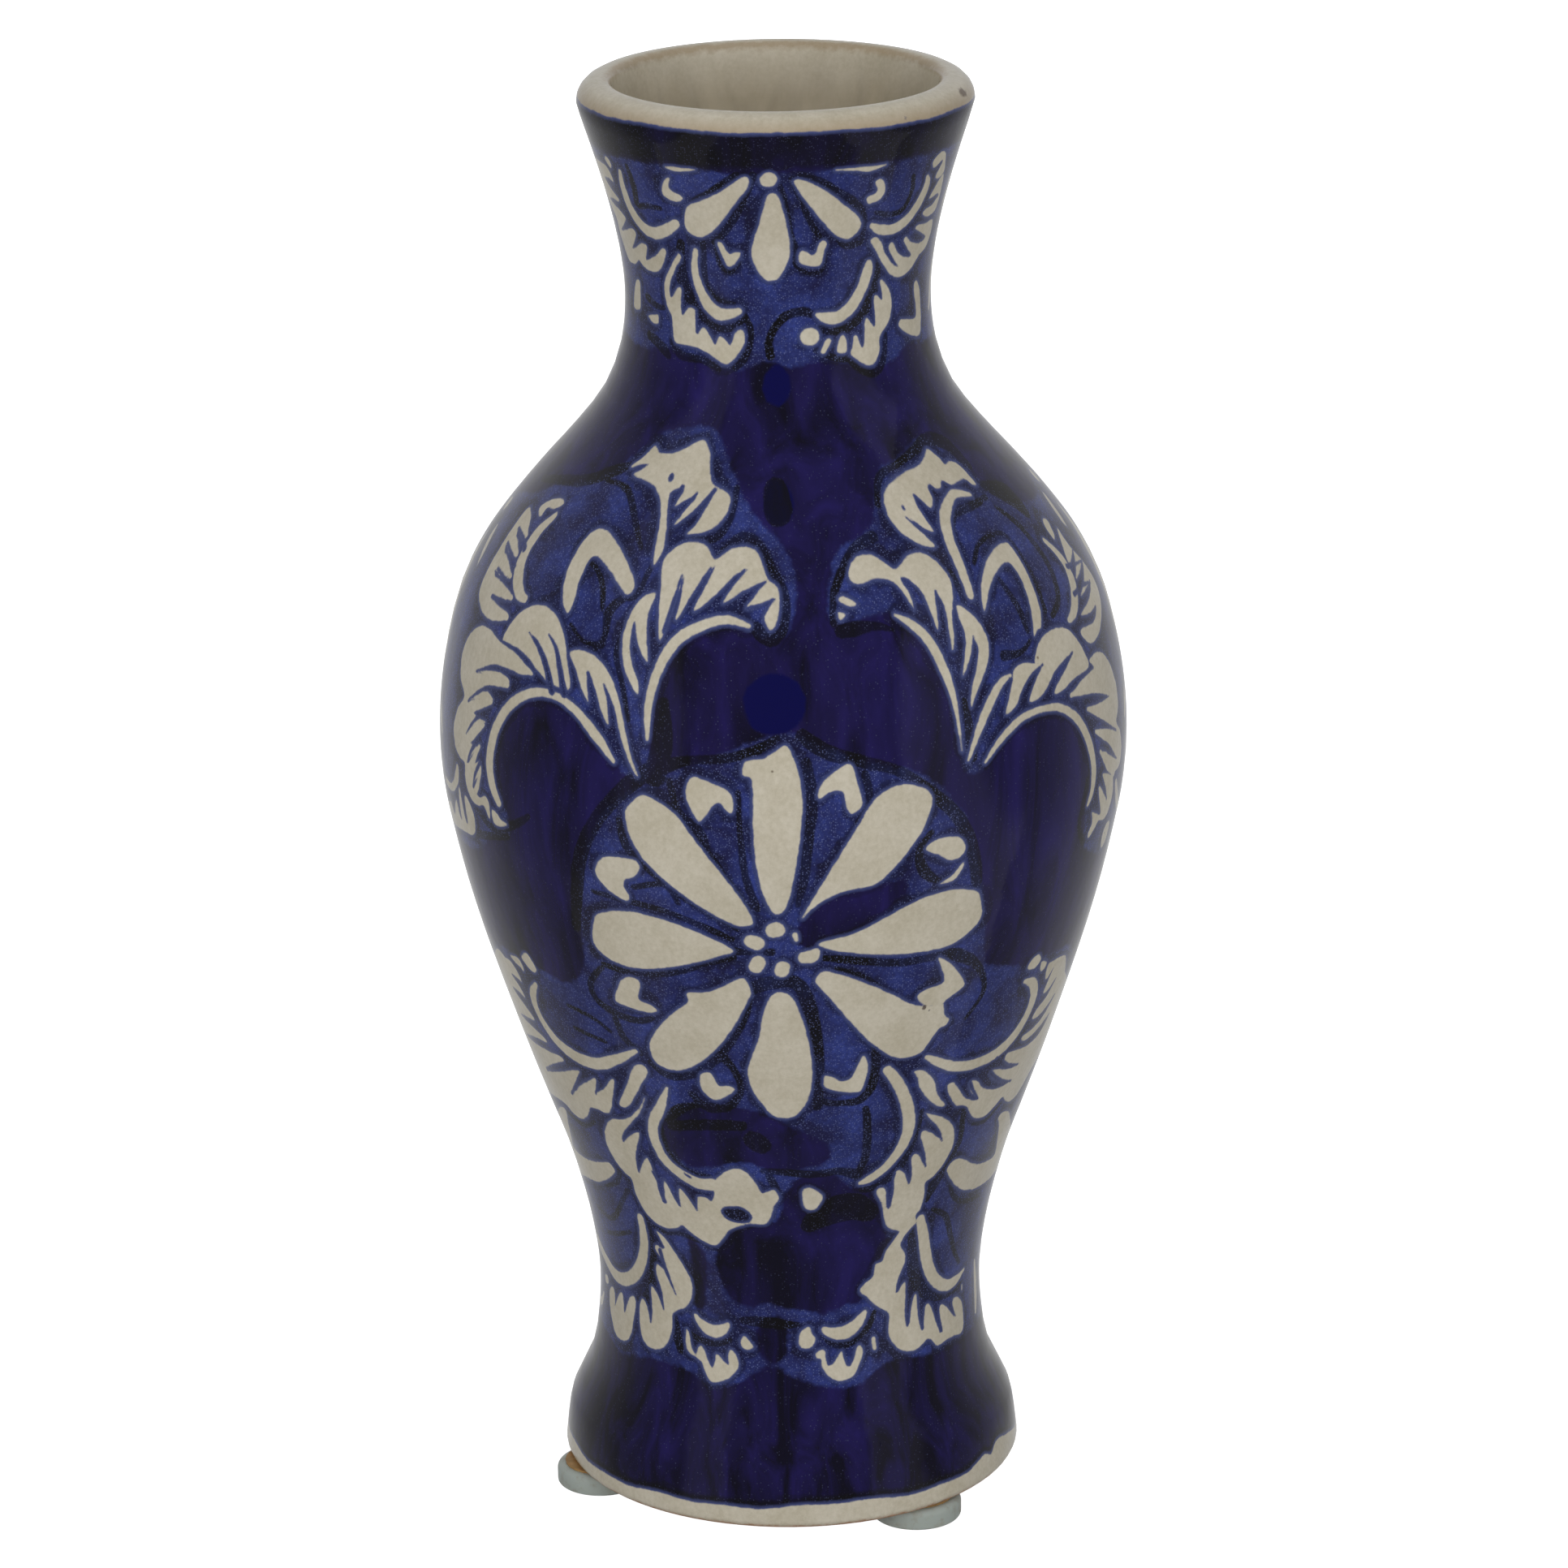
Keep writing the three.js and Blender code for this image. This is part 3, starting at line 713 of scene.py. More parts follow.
WHITE["rosette chevrons"] = [
    [(-14.7, 114.8), (-12.5, 114.4), (-9, 113.2), (-8.1, 111.8), (-8.3, 110.2), (-9.4, 110.6),
     (-10.3, 111.5), (-11.5, 111), (-12.2, 110), (-13.6, 108.8), (-14.6, 109.9), (-15.6, 111.5),
     (-15.8, 113.4)],
    [(5.5, 112.1), (5.7, 113.6), (7.5, 115.3), (10.2, 116.5), (11.2, 115.8), (11.8, 113.5),
     (12.5, 111.3), (12, 110.4), (10.7, 109.8), (9.8, 110.9), (9.6, 112.6), (8.4, 113.1),
     (7, 112.8)],
    [(-24, 101.3), (-24.8, 102.4), (-27.5, 102.6), (-30.5, 102.2), (-32, 101), (-32.4, 99.5),
     (-30.5, 97.5), (-27.3, 96.2), (-26.5, 97), (-27.3, 98.3), (-26.8, 99.4), (-25.2, 100)],
    [(-27.2, 84.1), (-29, 84.3), (-30.8, 83.5), (-32, 82), (-33, 80.4), (-32.4, 79.7), (-29, 79.2),
     (-26, 79), (-24.3, 79.5), (-25.5, 80.3), (-27.2, 80.6), (-27.8, 81.3), (-27, 83)],
    [(-15.5, 70.3), (-17.2, 70.1), (-17.9, 68.8), (-17.5, 67.2), (-15.5, 65.9), (-13, 66.4),
     (-10.8, 67.7), (-12, 68.3), (-13.8, 68.2), (-14.5, 69)],
    [(7.2, 68.5), (7.4, 70), (9, 69.7), (10.5, 69), (12.3, 69.2), (13.5, 70.5), (14.4, 72.6),
     (15.2, 72.7), (16, 71.2), (15.8, 69.2), (15.2, 67.4), (14.2, 66.9), (11, 67.2), (8.5, 67.7)],
    [(27.4, 86.9), (29.5, 86), (31.5, 84.5), (33.9, 82), (33.3, 81.1), (30.5, 79.9), (29.5, 79.2),
     (27, 79.4), (25.6, 79.9), (24.2, 81.3), (26, 82.2), (29, 82.7), (29.2, 83.7), (28.2, 85.4)],
    [(23.1, 103.6), (24.3, 104.7), (27, 105), (29.3, 104.5), (30.3, 103), (29.5, 101.8),
     (27.8, 101.5), (26.5, 102), (25.3, 102.7)],
    [(30.1, 100.9), (29.8, 99.8), (28.5, 98.5), (26, 98.3), (28, 99.2)],
]
WHITE_STROKES["rosette"] = [
    [(-2, 93.3, 1.15), (-1.5, 93.4, 1.15)],
    [(-5.9, 91.6, 0.95), (-4.9, 91.3, 1.05)],
    [(-5.2, 87.7, 1), (-4.7, 88.4, 1)],
    [(-0.8, 87.1, 1), (-0.6, 87.6, 1)],
    [(3.1, 89.1, 0.9), (4.3, 89.2, 1), (5.1, 89.9, 0.5)],
    [(1.5, 92.6, 0.35), (1.7, 91.8, 0.3)],
]
print("rosette:", len(WHITE["rosette petals"]), len(WHITE["rosette chevrons"]))

# %% Scrolls below the rosette
WHITE["scroll left"] = [
    [(-57.5, 82), (-55.2, 83.2), (-53.8, 82.3), (-53.1, 81), (-54.5, 80.3), (-56.5, 81)],
    [(-62.8, 81), (-59.5, 81.5), (-58.2, 80.5), (-58.5, 79.5), (-59.5, 80), (-61, 80.2)],
    [(-38.6, 66.3), (-40, 66), (-42, 64.5), (-46, 62.9), (-44.5, 64.3), (-44.4, 65.6),
     (-46.5, 64.9), (-50, 63.5), (-56.2, 60.9), (-53, 63), (-49.2, 65.8), (-53, 65.2), (-58, 63.9),
     (-66.5, 62.2), (-60, 64.6), (-54.5, 66.2), (-55, 67), (-59, 66.8), (-74, 66), (-66, 67.6),
     (-59.6, 68.2), (-60.5, 69), (-65, 69.5), (-71, 70), (-66, 70.7), (-61.8, 71.2), (-63.5, 72.5),
     (-69, 74.6), (-65, 74.8), (-62.7, 74.5), (-63.5, 76), (-66, 77.4), (-63, 77.4), (-61.4, 77.2),
     (-61.8, 78.7), (-64, 80), (-66.5, 79.8), (-69.5, 80.4), (-74, 79), (-80, 76.8), (-90, 76),
     (-100, 76), (-100, 56), (-90, 56), (-84, 56), (-78, 56.6), (-72, 57.2), (-66, 57.8),
     (-62, 57.8), (-59, 56.9), (-55, 56.9), (-51.5, 58.5), (-49.3, 60), (-44, 60), (-42, 61.2),
     (-40.3, 63.5)],
    [(-30, 70.1), (-32.5, 69.4), (-35, 66.5), (-37.5, 64), (-39.2, 62.3), (-37.5, 62), (-35, 63.5),
     (-32, 66.3), (-29.3, 68.9)],
    [(-31.4, 64.6), (-33.5, 62.7), (-37, 60.6), (-40, 59.7), (-43.5, 59), (-46.5, 57.2),
     (-48.3, 54.6), (-47.5, 51.8), (-45.2, 50), (-43.2, 49.3), (-43.3, 46.8), (-41.8, 44.4),
     (-39, 42.9), (-35.5, 42.3), (-32, 42.6), (-29.6, 43.4), (-27.5, 42.6), (-24, 41.4),
     (-20.5, 40.9), (-18, 42.3), (-15.5, 43.9), (-11, 45), (-6.5, 45.1), (-4.6, 46.4), (-3.8, 48.2),
     (-2.6, 49.6), (-3.5, 51), (-5.5, 50.6), (-6.8, 50.5), (-8, 52.2), (-9.8, 53.8), (-12, 54.5),
     (-14.8, 53.9), (-17.3, 52.5), (-18.5, 51.5), (-18.6, 49.8), (-19.8, 48.4), (-21.3, 48.9),
     (-23.3, 48.8), (-23.8, 47.6), (-24.3, 46.7), (-26.3, 48.6), (-28, 49.8), (-28.8, 48.3),
     (-29, 46.5), (-30.5, 48), (-32, 50.6), (-33, 48.5), (-33.8, 46.8), (-34.6, 48), (-34.6, 51),
     (-35.2, 53.9), (-37, 53), (-39.8, 50.9), (-38.8, 54), (-36, 57.3), (-35.8, 58.2),
     (-38.5, 57.3), (-42, 55.9), (-40, 57.8), (-37, 59.6), (-33.5, 62)],
    [(-64, 56.3), (-66.5, 56.5), (-71, 55.2), (-76, 53.3), (-82, 51.5), (-90, 50.8), (-100, 50.8),
     (-100, 42), (-90, 42), (-82, 42.6), (-74, 44), (-67, 44.9), (-60, 45.7), (-54.5, 47.2),
     (-50.5, 48.7), (-49.1, 49.6), (-50.3, 50.6), (-53, 50.3), (-58, 49.4), (-65, 48.7),
     (-73.5, 48.6), (-70.5, 50.6), (-67, 53.5)],
]
WHITE["scroll right"] = [
    [(50.2, 81.3), (51.5, 82.4), (53.3, 82.4), (54.2, 81.3), (52.8, 80.4), (50.8, 80.6)],
    [(54.8, 81), (56.8, 80.5), (57, 79.7), (55.8, 79.2), (54.8, 80)],
    [(35.3, 65.3), (36.6, 63.5), (39.3, 61.4), (42.5, 60.8), (44.5, 59.3), (47.3, 57.8), (51, 57.4),
     (54.5, 58.4), (56.6, 59.3), (59.3, 58.1), (63, 57.3), (66.8, 57.9), (70, 59.8), (74, 61),
     (90, 61.3), (100, 61.3), (100, 71.6), (90, 71.6), (80, 72), (74, 74), (70, 75.8), (68.3, 77.4),
     (66, 79.2), (63, 79.8), (60, 79.9), (57.9, 79.8), (58.3, 77.6), (59.5, 77.3), (61, 78.6),
     (60.3, 76.8), (59.8, 74.9), (61.8, 74.9), (64.6, 76.2), (62, 73.6), (59.3, 72.7), (58.4, 71.3),
     (60.8, 70.9), (64, 71.6), (67.8, 72.9), (64.5, 70.4), (60.5, 69.3), (56.5, 68.9), (57.3, 68),
     (60.5, 67.9), (65, 68.7), (69, 69.7), (66.5, 67.3), (61, 66.6), (55.5, 67), (52.4, 67.2),
     (51.8, 66.3), (54, 65.1), (59.3, 63.9), (54.5, 64.2), (49.5, 65.3), (47.6, 65.1), (50, 63.6),
     (54, 62.4), (58.6, 61.6), (52, 61.6), (47, 62.8), (43.5, 64.7), (41.7, 64.6), (43, 62.9),
     (46.3, 61.1), (42, 62), (38.5, 64.4), (36.8, 65.6)],
    [(26.2, 69), (28.5, 68.8), (31.5, 66.8), (33, 64.4), (35.9, 62.1), (34, 62.2), (31, 63.8),
     (28.5, 65.8), (27.3, 67.8)],
    [(31.1, 61.5), (34, 60.7), (37.5, 59.5), (40.5, 57.6), (42.1, 54.8), (41.3, 52), (38.8, 50),
     (36.3, 49.1), (36.9, 47), (36.6, 44.8), (35.4, 43.9), (36.2, 42.6), (34, 41.9), (31.5, 41.6),
     (30.3, 42), (28, 42.5), (26.2, 43.5), (25, 45.5), (23.8, 47.5), (22, 49.3), (22.7, 50),
     (24.3, 49.6), (25.3, 47.8), (26.2, 46.1), (26.9, 47), (26.9, 49.5), (26.2, 51.8), (27, 52.5),
     (28.8, 51.9), (30.2, 50.6), (31.3, 50), (31, 52), (30, 54), (30.8, 54.8), (32.5, 54),
     (35, 52.1), (33.3, 55), (31.2, 57.6), (31.8, 58.5), (34.5, 57.6), (38.2, 55.8), (35.5, 58.5),
     (32.5, 60.4)],
    [(3.4, 51), (4.8, 51.4), (6.5, 50.8), (8.3, 49.6), (7.2, 48), (5.8, 47.4), (4, 47.8),
     (3.2, 49.5)],
    [(58.6, 55.5), (60.5, 56.1), (64.5, 55.3), (69, 53.2), (74, 51), (80, 49.5), (90, 49.2),
     (100, 49.2), (100, 43.4), (90, 43.4), (80, 43.6), (70, 43.6), (64, 43.8), (57.5, 44.3),
     (52, 45.3), (47.5, 47), (44.3, 48.9), (42.6, 50.2), (43.8, 51.3), (46, 51.5), (49.5, 50.6),
     (54, 49.1), (60, 48.1), (66.8, 48), (63.5, 51.4), (60.8, 54)],
]
WHITE_STROKES["scrolls"] = [
    [(-55, 78.3, 0.35), (-57.8, 76.2, 0.8), (-58.6, 73.8, 0.8), (-57, 71.3, 0.85),
     (-53.5, 69.3, 0.95), (-48, 68.2, 1), (-42, 68.4, 0.95), (-36.5, 70, 0.8), (-31, 72.2, 0.3)],
    [(-25.4, 66.9, 0.2), (-28, 63.5, 0.75), (-30.8, 60.5, 0.8), (-31.6, 57.5, 0.8),
     (-30.3, 54.5, 0.8), (-27, 52.5, 0.85), (-22.5, 51.2, 1), (-18.5, 51.3, 1)],
    [(50.5, 78.9, 0.3), (53.5, 78, 0.8), (55.7, 75.5, 0.9), (55.3, 72.5, 0.95), (52.5, 69.8, 1),
     (48, 68.2, 0.95), (42, 67.7, 0.85), (36, 68.3, 0.8), (31.5, 69.8, 0.65), (28.5, 71, 0.35)],
    [(20.2, 70, 0.7), (22.8, 67.6, 0.85), (25.3, 64.5, 0.9), (27, 61.3, 0.95), (27.4, 58.6, 0.95),
     (26.2, 56, 0.85), (23.3, 53.5, 0.7), (19.8, 51.9, 0.65), (17.5, 51.4, 0.4)],
]
print("scrolls below the rosette:", len(WHITE["scroll left"]), len(WHITE["scroll right"]))

# %% Buds above the foot
WHITE["bud left"] = [
    [(-38.8, 41.3), (-36.5, 40.6), (-34.2, 38.9), (-31.2, 36.4), (-29.5, 34.4), (-29.7, 32),
     (-32, 30), (-35.5, 29), (-37.5, 28), (-37.7, 26), (-39.2, 23.9), (-42, 22.4), (-46, 21.9),
     (-49.8, 22.6), (-51.5, 24.5), (-51.6, 27), (-50.3, 28.8), (-48.6, 28.7), (-47.2, 27.2),
     (-46.3, 25.6), (-45.6, 27.5), (-45.4, 31), (-44.3, 31.5), (-42.5, 30.3), (-40.7, 28.5),
     (-40.9, 31), (-42, 34), (-41.3, 35.6), (-39.5, 35.3), (-37.8, 34.6), (-35.4, 31.6),
     (-36.8, 34.2), (-38, 36), (-40.8, 38), (-40, 38.9), (-38.2, 38.6), (-37.1, 38.9), (-38, 40)],
    [(-53.8, 28.5), (-55.5, 28.4), (-57.5, 27.4), (-60, 25.2), (-60.3, 26.5), (-61, 27.9),
     (-63, 27.6), (-64.7, 26.4), (-66.7, 25), (-66.3, 26.5), (-67.3, 27.7), (-69.5, 27.4),
     (-71.2, 26.3), (-71, 24.3), (-68.5, 22.4), (-65.5, 21), (-62, 20.7), (-58, 21.3),
     (-55.8, 22.8), (-54.8, 25), (-53.5, 27.3)],
    [(-29.7, 28.9), (-28.8, 29.2), (-27, 28.5), (-23.5, 27.9), (-20.5, 28.3), (-18.5, 28.6),
     (-18.2, 27.9), (-19.5, 26.8), (-22.5, 26), (-26, 26.4), (-28.5, 27.5)],
    [(-32.5, 26.4), (-31.5, 25.8), (-30.7, 24), (-29.3, 23), (-28.5, 24), (-27.5, 24.4),
     (-26.3, 23.7), (-25, 22.3), (-23.7, 21.5), (-23, 22.5), (-22.7, 23.5), (-21.5, 23.4),
     (-20, 22.6), (-18.5, 22.3), (-18.8, 23.5), (-18.3, 24.5), (-17, 24.3), (-15.7, 23.2),
     (-15.8, 21.8), (-18, 20.5), (-21, 19.7), (-24, 19.4), (-26, 20.7), (-27.3, 22), (-29.3, 22.6),
     (-31.2, 22.9), (-32.7, 24)],
    [(-15, 26), (-13.8, 26.8), (-12, 26), (-11.2, 25.2), (-13, 24.8), (-14.7, 25.2)],
]
WHITE["bud right"] = [
    [(31, 41.8), (29.2, 40.5), (27.3, 39), (26.5, 37.5), (24.5, 37.1), (24, 35.2), (21.5, 34.3),
     (20.3, 33.2), (22.5, 32.2), (25, 30.8), (28, 29.6), (30.2, 28.6), (30, 26), (31.3, 24.2),
     (34.5, 22.7), (39, 22.1), (42, 22.4), (44.5, 23), (46.5, 22.6), (48.7, 21.4), (53, 21.6),
     (57.5, 21.5), (61.5, 21.2), (63.5, 22), (63.8, 24), (62.8, 25.8), (60.5, 26.8), (58, 27.2),
     (57, 26.6), (57.7, 25.4), (59, 24.2), (56, 25.3), (53.5, 26.7), (51.3, 27.3), (50.3, 26.8),
     (50.8, 25), (51.7, 23.2), (50.5, 23.2), (48.8, 24.7), (47, 27), (45.2, 28.3), (43.7, 28),
     (43.5, 26), (43.2, 24.7), (42, 25), (41, 27.5), (40, 30.3), (39, 30.4), (38, 28.2),
     (37.3, 26.1), (36.2, 26.4), (35.8, 29), (35.3, 32.8), (34.2, 32.9), (33, 31.9), (32.2, 31.8),
     (32, 33.2), (33, 34.6), (34, 35.8), (34, 37.5), (33, 38.5), (31.9, 39.3), (32, 40.2),
     (33.3, 41.2), (35, 42.3), (33, 43)],
    [(9, 27.8), (9.7, 28.3), (12, 28), (15, 28), (18, 28.6), (20.5, 29.6), (22.3, 30.1),
     (22.8, 29.4), (21.5, 27.9), (19, 26.6), (15.5, 26), (12, 26.4), (9.7, 27.2)],
    [(7.2, 24.2), (8.5, 24.8), (10, 24.6), (10.2, 23.4), (10.8, 22.4), (12.3, 22.6), (13.6, 23.4),
     (15, 24.3), (15.5, 23.3), (16.2, 22.2), (17.5, 22), (18.8, 23), (19.7, 24.6), (20.8, 24.8),
     (21.6, 23.6), (20.3, 22), (18.8, 20.7), (16.5, 20.1), (13.5, 20), (11, 20.8), (9.2, 22),
     (8.8, 23.4), (7.6, 23.6)],
    [(2.2, 26.2), (2.8, 27.6), (4.3, 28.2), (5.5, 28.3), (6.3, 27.2), (7.2, 26.6), (6.3, 25.4),
     (4.5, 25.1), (2.8, 25.4)],
]
WHITE_STROKES["buds"] = [
    [(-44, 42.8, 0.6), (-44.2, 40.5, 0.75), (-45.5, 37.5, 0.85), (-48.3, 34.6, 0.95),
     (-52.5, 32.2, 1), (-58, 30.6, 1), (-64, 30.2, 1), (-70, 31.2, 1), (-78, 33, 1)],
    [(37.2, 43, 0.7), (39.3, 40.3, 0.95), (41.5, 37, 1), (44, 34, 1), (47.5, 31.6, 0.95),
     (52.5, 30, 0.9), (58, 29.8, 0.8), (63.2, 30.6, 0.25)],
    [(25, 25.4, 0.3), (25.3, 24, 0.3)],
    [(-74, 27.8, 0.7), (-73, 28, 0.7)],
    [(62.8, 28.2, 0.2), (62.9, 27.6, 0.2)],
]
print("buds above the foot:", len(WHITE["bud left"]), len(WHITE["bud right"]))

# %% Side motifs
WHITE["side left"] = [
    [(-90, 70.6), (-91.6, 69.2), (-93, 66.8), (-93.2, 64.6), (-91.8, 62.4), (-90, 61.6),
     (-88.2, 62.4), (-86.8, 64.6), (-87, 66.8), (-88.4, 69.2)],
    [(-90, 136.5), (-91.4, 134), (-93.4, 128.8), (-94.4, 123.4), (-94, 119.6), (-92.2, 116.8),
     (-90, 115.9), (-87.8, 116.8), (-86, 119.6), (-85.6, 123.4), (-86.6, 128.8), (-88.6, 134)],
    [(-84.6, 138.2), (-83, 137.6), (-80.8, 135.2), (-80.6, 133.2), (-82.2, 134.6), (-84.2, 136.4)],
    [(-83.6, 113.6), (-81, 112.2), (-79.6, 109.6), (-81.4, 110.4), (-83.8, 111.6)],
    [(-90, 182.6), (-91.6, 180.6), (-93.2, 177.4), (-93.4, 174.8), (-92, 172.6), (-90, 171.8),
     (-88, 172.6), (-86.6, 174.8), (-86.8, 177.4), (-88.4, 180.6)],
    [(-90, 38.6), (-92.4, 36.8), (-94.4, 33), (-94.8, 29.6), (-93, 26.8), (-90, 25.8), (-87, 26.8),
     (-85.2, 29.6), (-85.6, 33), (-87.6, 36.8)],
]
WHITE["side right"] = [
    [(90, 69.2), (88.4, 68.2), (87.4, 66.4), (88.4, 64.6), (90, 63.6), (91.6, 64.6), (92.6, 66.4),
     (91.6, 68.2)],
    [(90, 139.5), (88.6, 137), (86.6, 131.8), (85.6, 126.4), (86, 122.6), (87.8, 119.8),
     (90, 118.9), (92.2, 119.8), (94, 122.6), (94.4, 126.4), (93.4, 131.8), (91.4, 137)],
    [(84.2, 141.8), (82.6, 141.2), (81, 138.6), (82, 137.4), (83.8, 139.6)],
    [(83.4, 114.6), (81.4, 113.4), (80, 110.8), (81.6, 111.2), (83.6, 112.6)],
    [(90, 189.6), (88, 187.4), (85.6, 183.4), (84.8, 180), (85.8, 177.2), (88, 175.4), (90, 175),
     (92, 175.4), (94.2, 177.2), (95.2, 180), (94.4, 183.4), (92, 187.4)],
    [(78.4, 187.4), (80.2, 185.6), (80.6, 183), (79.2, 181.4), (77.6, 182.6), (78.4, 184.8),
     (77.4, 186.4)],
    [(90, 39), (87.4, 36.8), (84.8, 32.6), (84.2, 28.8), (86, 25.6), (90, 24.4), (94, 25.6),
     (95.8, 28.8), (95.2, 32.6), (92.6, 36.8)],
]
WHITE_STROKES["sides"] = [
    [(-90, 112.4, 1), (-89.6, 112.4, 1)],
    [(-90, 108, 0.7), (-89.7, 108, 0.7)],
    [(-90, 140.2, 0.9), (-89.7, 140.2, 0.9)],
    [(90, 115.2, 1), (90.3, 115.2, 1)],
    [(90, 110.8, 0.7), (90.3, 110.8, 0.7)],
    [(90, 143.2, 0.9), (90.3, 143.2, 0.9)],
    [(-90, 168.6, 0.8), (-89.5, 168.6, 0.8)],
    [(90, 171.6, 0.9), (90.5, 171.6, 0.9)],
    [(90, 167.9, 0.6), (90.5, 167.9, 0.6)],
    [(78, 168, 0.35), (80.5, 169.5, 0.7), (81.8, 172, 0.7), (81.6, 174.2, 0.35)],
    [(72.8, 30.2, 0.3), (75.4, 27.2, 0.7), (76.2, 24.2, 0.8), (74.8, 22, 0.4)],
    [(-78.4, 24.8, 0.3), (-81, 23.2, 0.6), (-84.4, 22.6, 0.6), (-87, 22.9, 0.3)],
]
print("side motifs:", len(WHITE["side left"]), len(WHITE["side right"]))

# %% Fingers at the outer leaves
WHITE_STROKES["fingers"] = [
    [(-72, 141, 0.5), (-68, 140.2, 0.6), (-65.5, 139.7, 0.3)],
    [(-72, 138.9, 0.5), (-68, 138.2, 0.65), (-64.5, 137.4, 0.3)],
    [(-72, 136.6, 0.6), (-67, 135.8, 0.7), (-62.5, 135, 0.3)],
    [(-71, 133.4, 0.6), (-65, 133.2, 0.75), (-59, 132.8, 0.35)],
    [(-69, 130.6, 0.6), (-63, 130.4, 0.7), (-58, 130.4, 0.4)],
    [(-67, 124.8, 0.9), (-58, 125.3, 0.9), (-48, 124.8, 0.35)],
    [(-67, 120.4, 0.9), (-60, 121.7, 0.8), (-53.2, 122.3, 0.4)],
    [(-67, 115.8, 0.9), (-62, 117.9, 0.8), (-57.2, 119.2, 0.35)],
    [(-66, 111.6, 0.8), (-62.5, 113.6, 0.7), (-58.8, 115.8, 0.3)],
    [(-64, 107.9, 0.7), (-62, 110, 0.6), (-59.8, 112.6, 0.3)],
    [(-62, 105.3, 0.5), (-60.5, 106.8, 0.5), (-59.4, 108.8, 0.3)],
    [(72, 119, 0.8), (64, 119.8, 0.8), (56, 119.4, 0.35)],
    [(73, 114.3, 0.8), (67, 115.2, 0.8), (60.8, 116.5, 0.35)],
    [(73, 109, 0.8), (68, 110.8, 0.7), (62.8, 112.9, 0.3)],
    [(71, 105.2, 0.7), (67.5, 107, 0.6), (64.2, 109.8, 0.3)],
    [(69, 100.8, 0.5), (66.5, 102.4, 0.5), (64, 104.6, 0.3)],
]
print("fingers:", len(WHITE_STROKES["fingers"]))

# %% Gaps and blemishes
HOLES["specks"] = [
    [(-17.6, 46.9), (-16.6, 47.6), (-14.8, 47.9), (-12.6, 47.9), (-10.6, 47.3), (-9.5, 46.3),
     (-10.4, 45.4), (-12.4, 45.1), (-14.8, 45.2), (-16.8, 45.8)],
    [(-31.1, 150.2), (-30.4, 150.6), (-29.5, 150.3), (-29.6, 149.7), (-30.6, 149.6)],
    [(29.9, 146.5), (30.5, 146.6), (30.6, 146.1), (30, 146)],
    [(-25.8, 52.7), (-24.6, 52.4), (-23.9, 52), (-24.6, 51.9), (-25.6, 52.3)],
]
HOLES["side openings"] = [
    [(-81.5, 66), (-84, 69.6), (-87, 71.8), (-90, 72.4), (-93, 71.8), (-96, 69.6), (-98.5, 66),
     (-96, 62.6), (-93, 60.4), (-90, 59.8), (-87, 60.4), (-84, 62.6)],
    [(82, 66.4), (84, 68.8), (87, 70), (90, 70.3), (93, 70), (96, 68.8), (98, 66.4), (96, 64),
     (93, 62.8), (90, 62.5), (87, 62.8), (84, 64)],
]
print("gaps and blemishes:", len(HOLES["specks"]), len(HOLES["side openings"]))

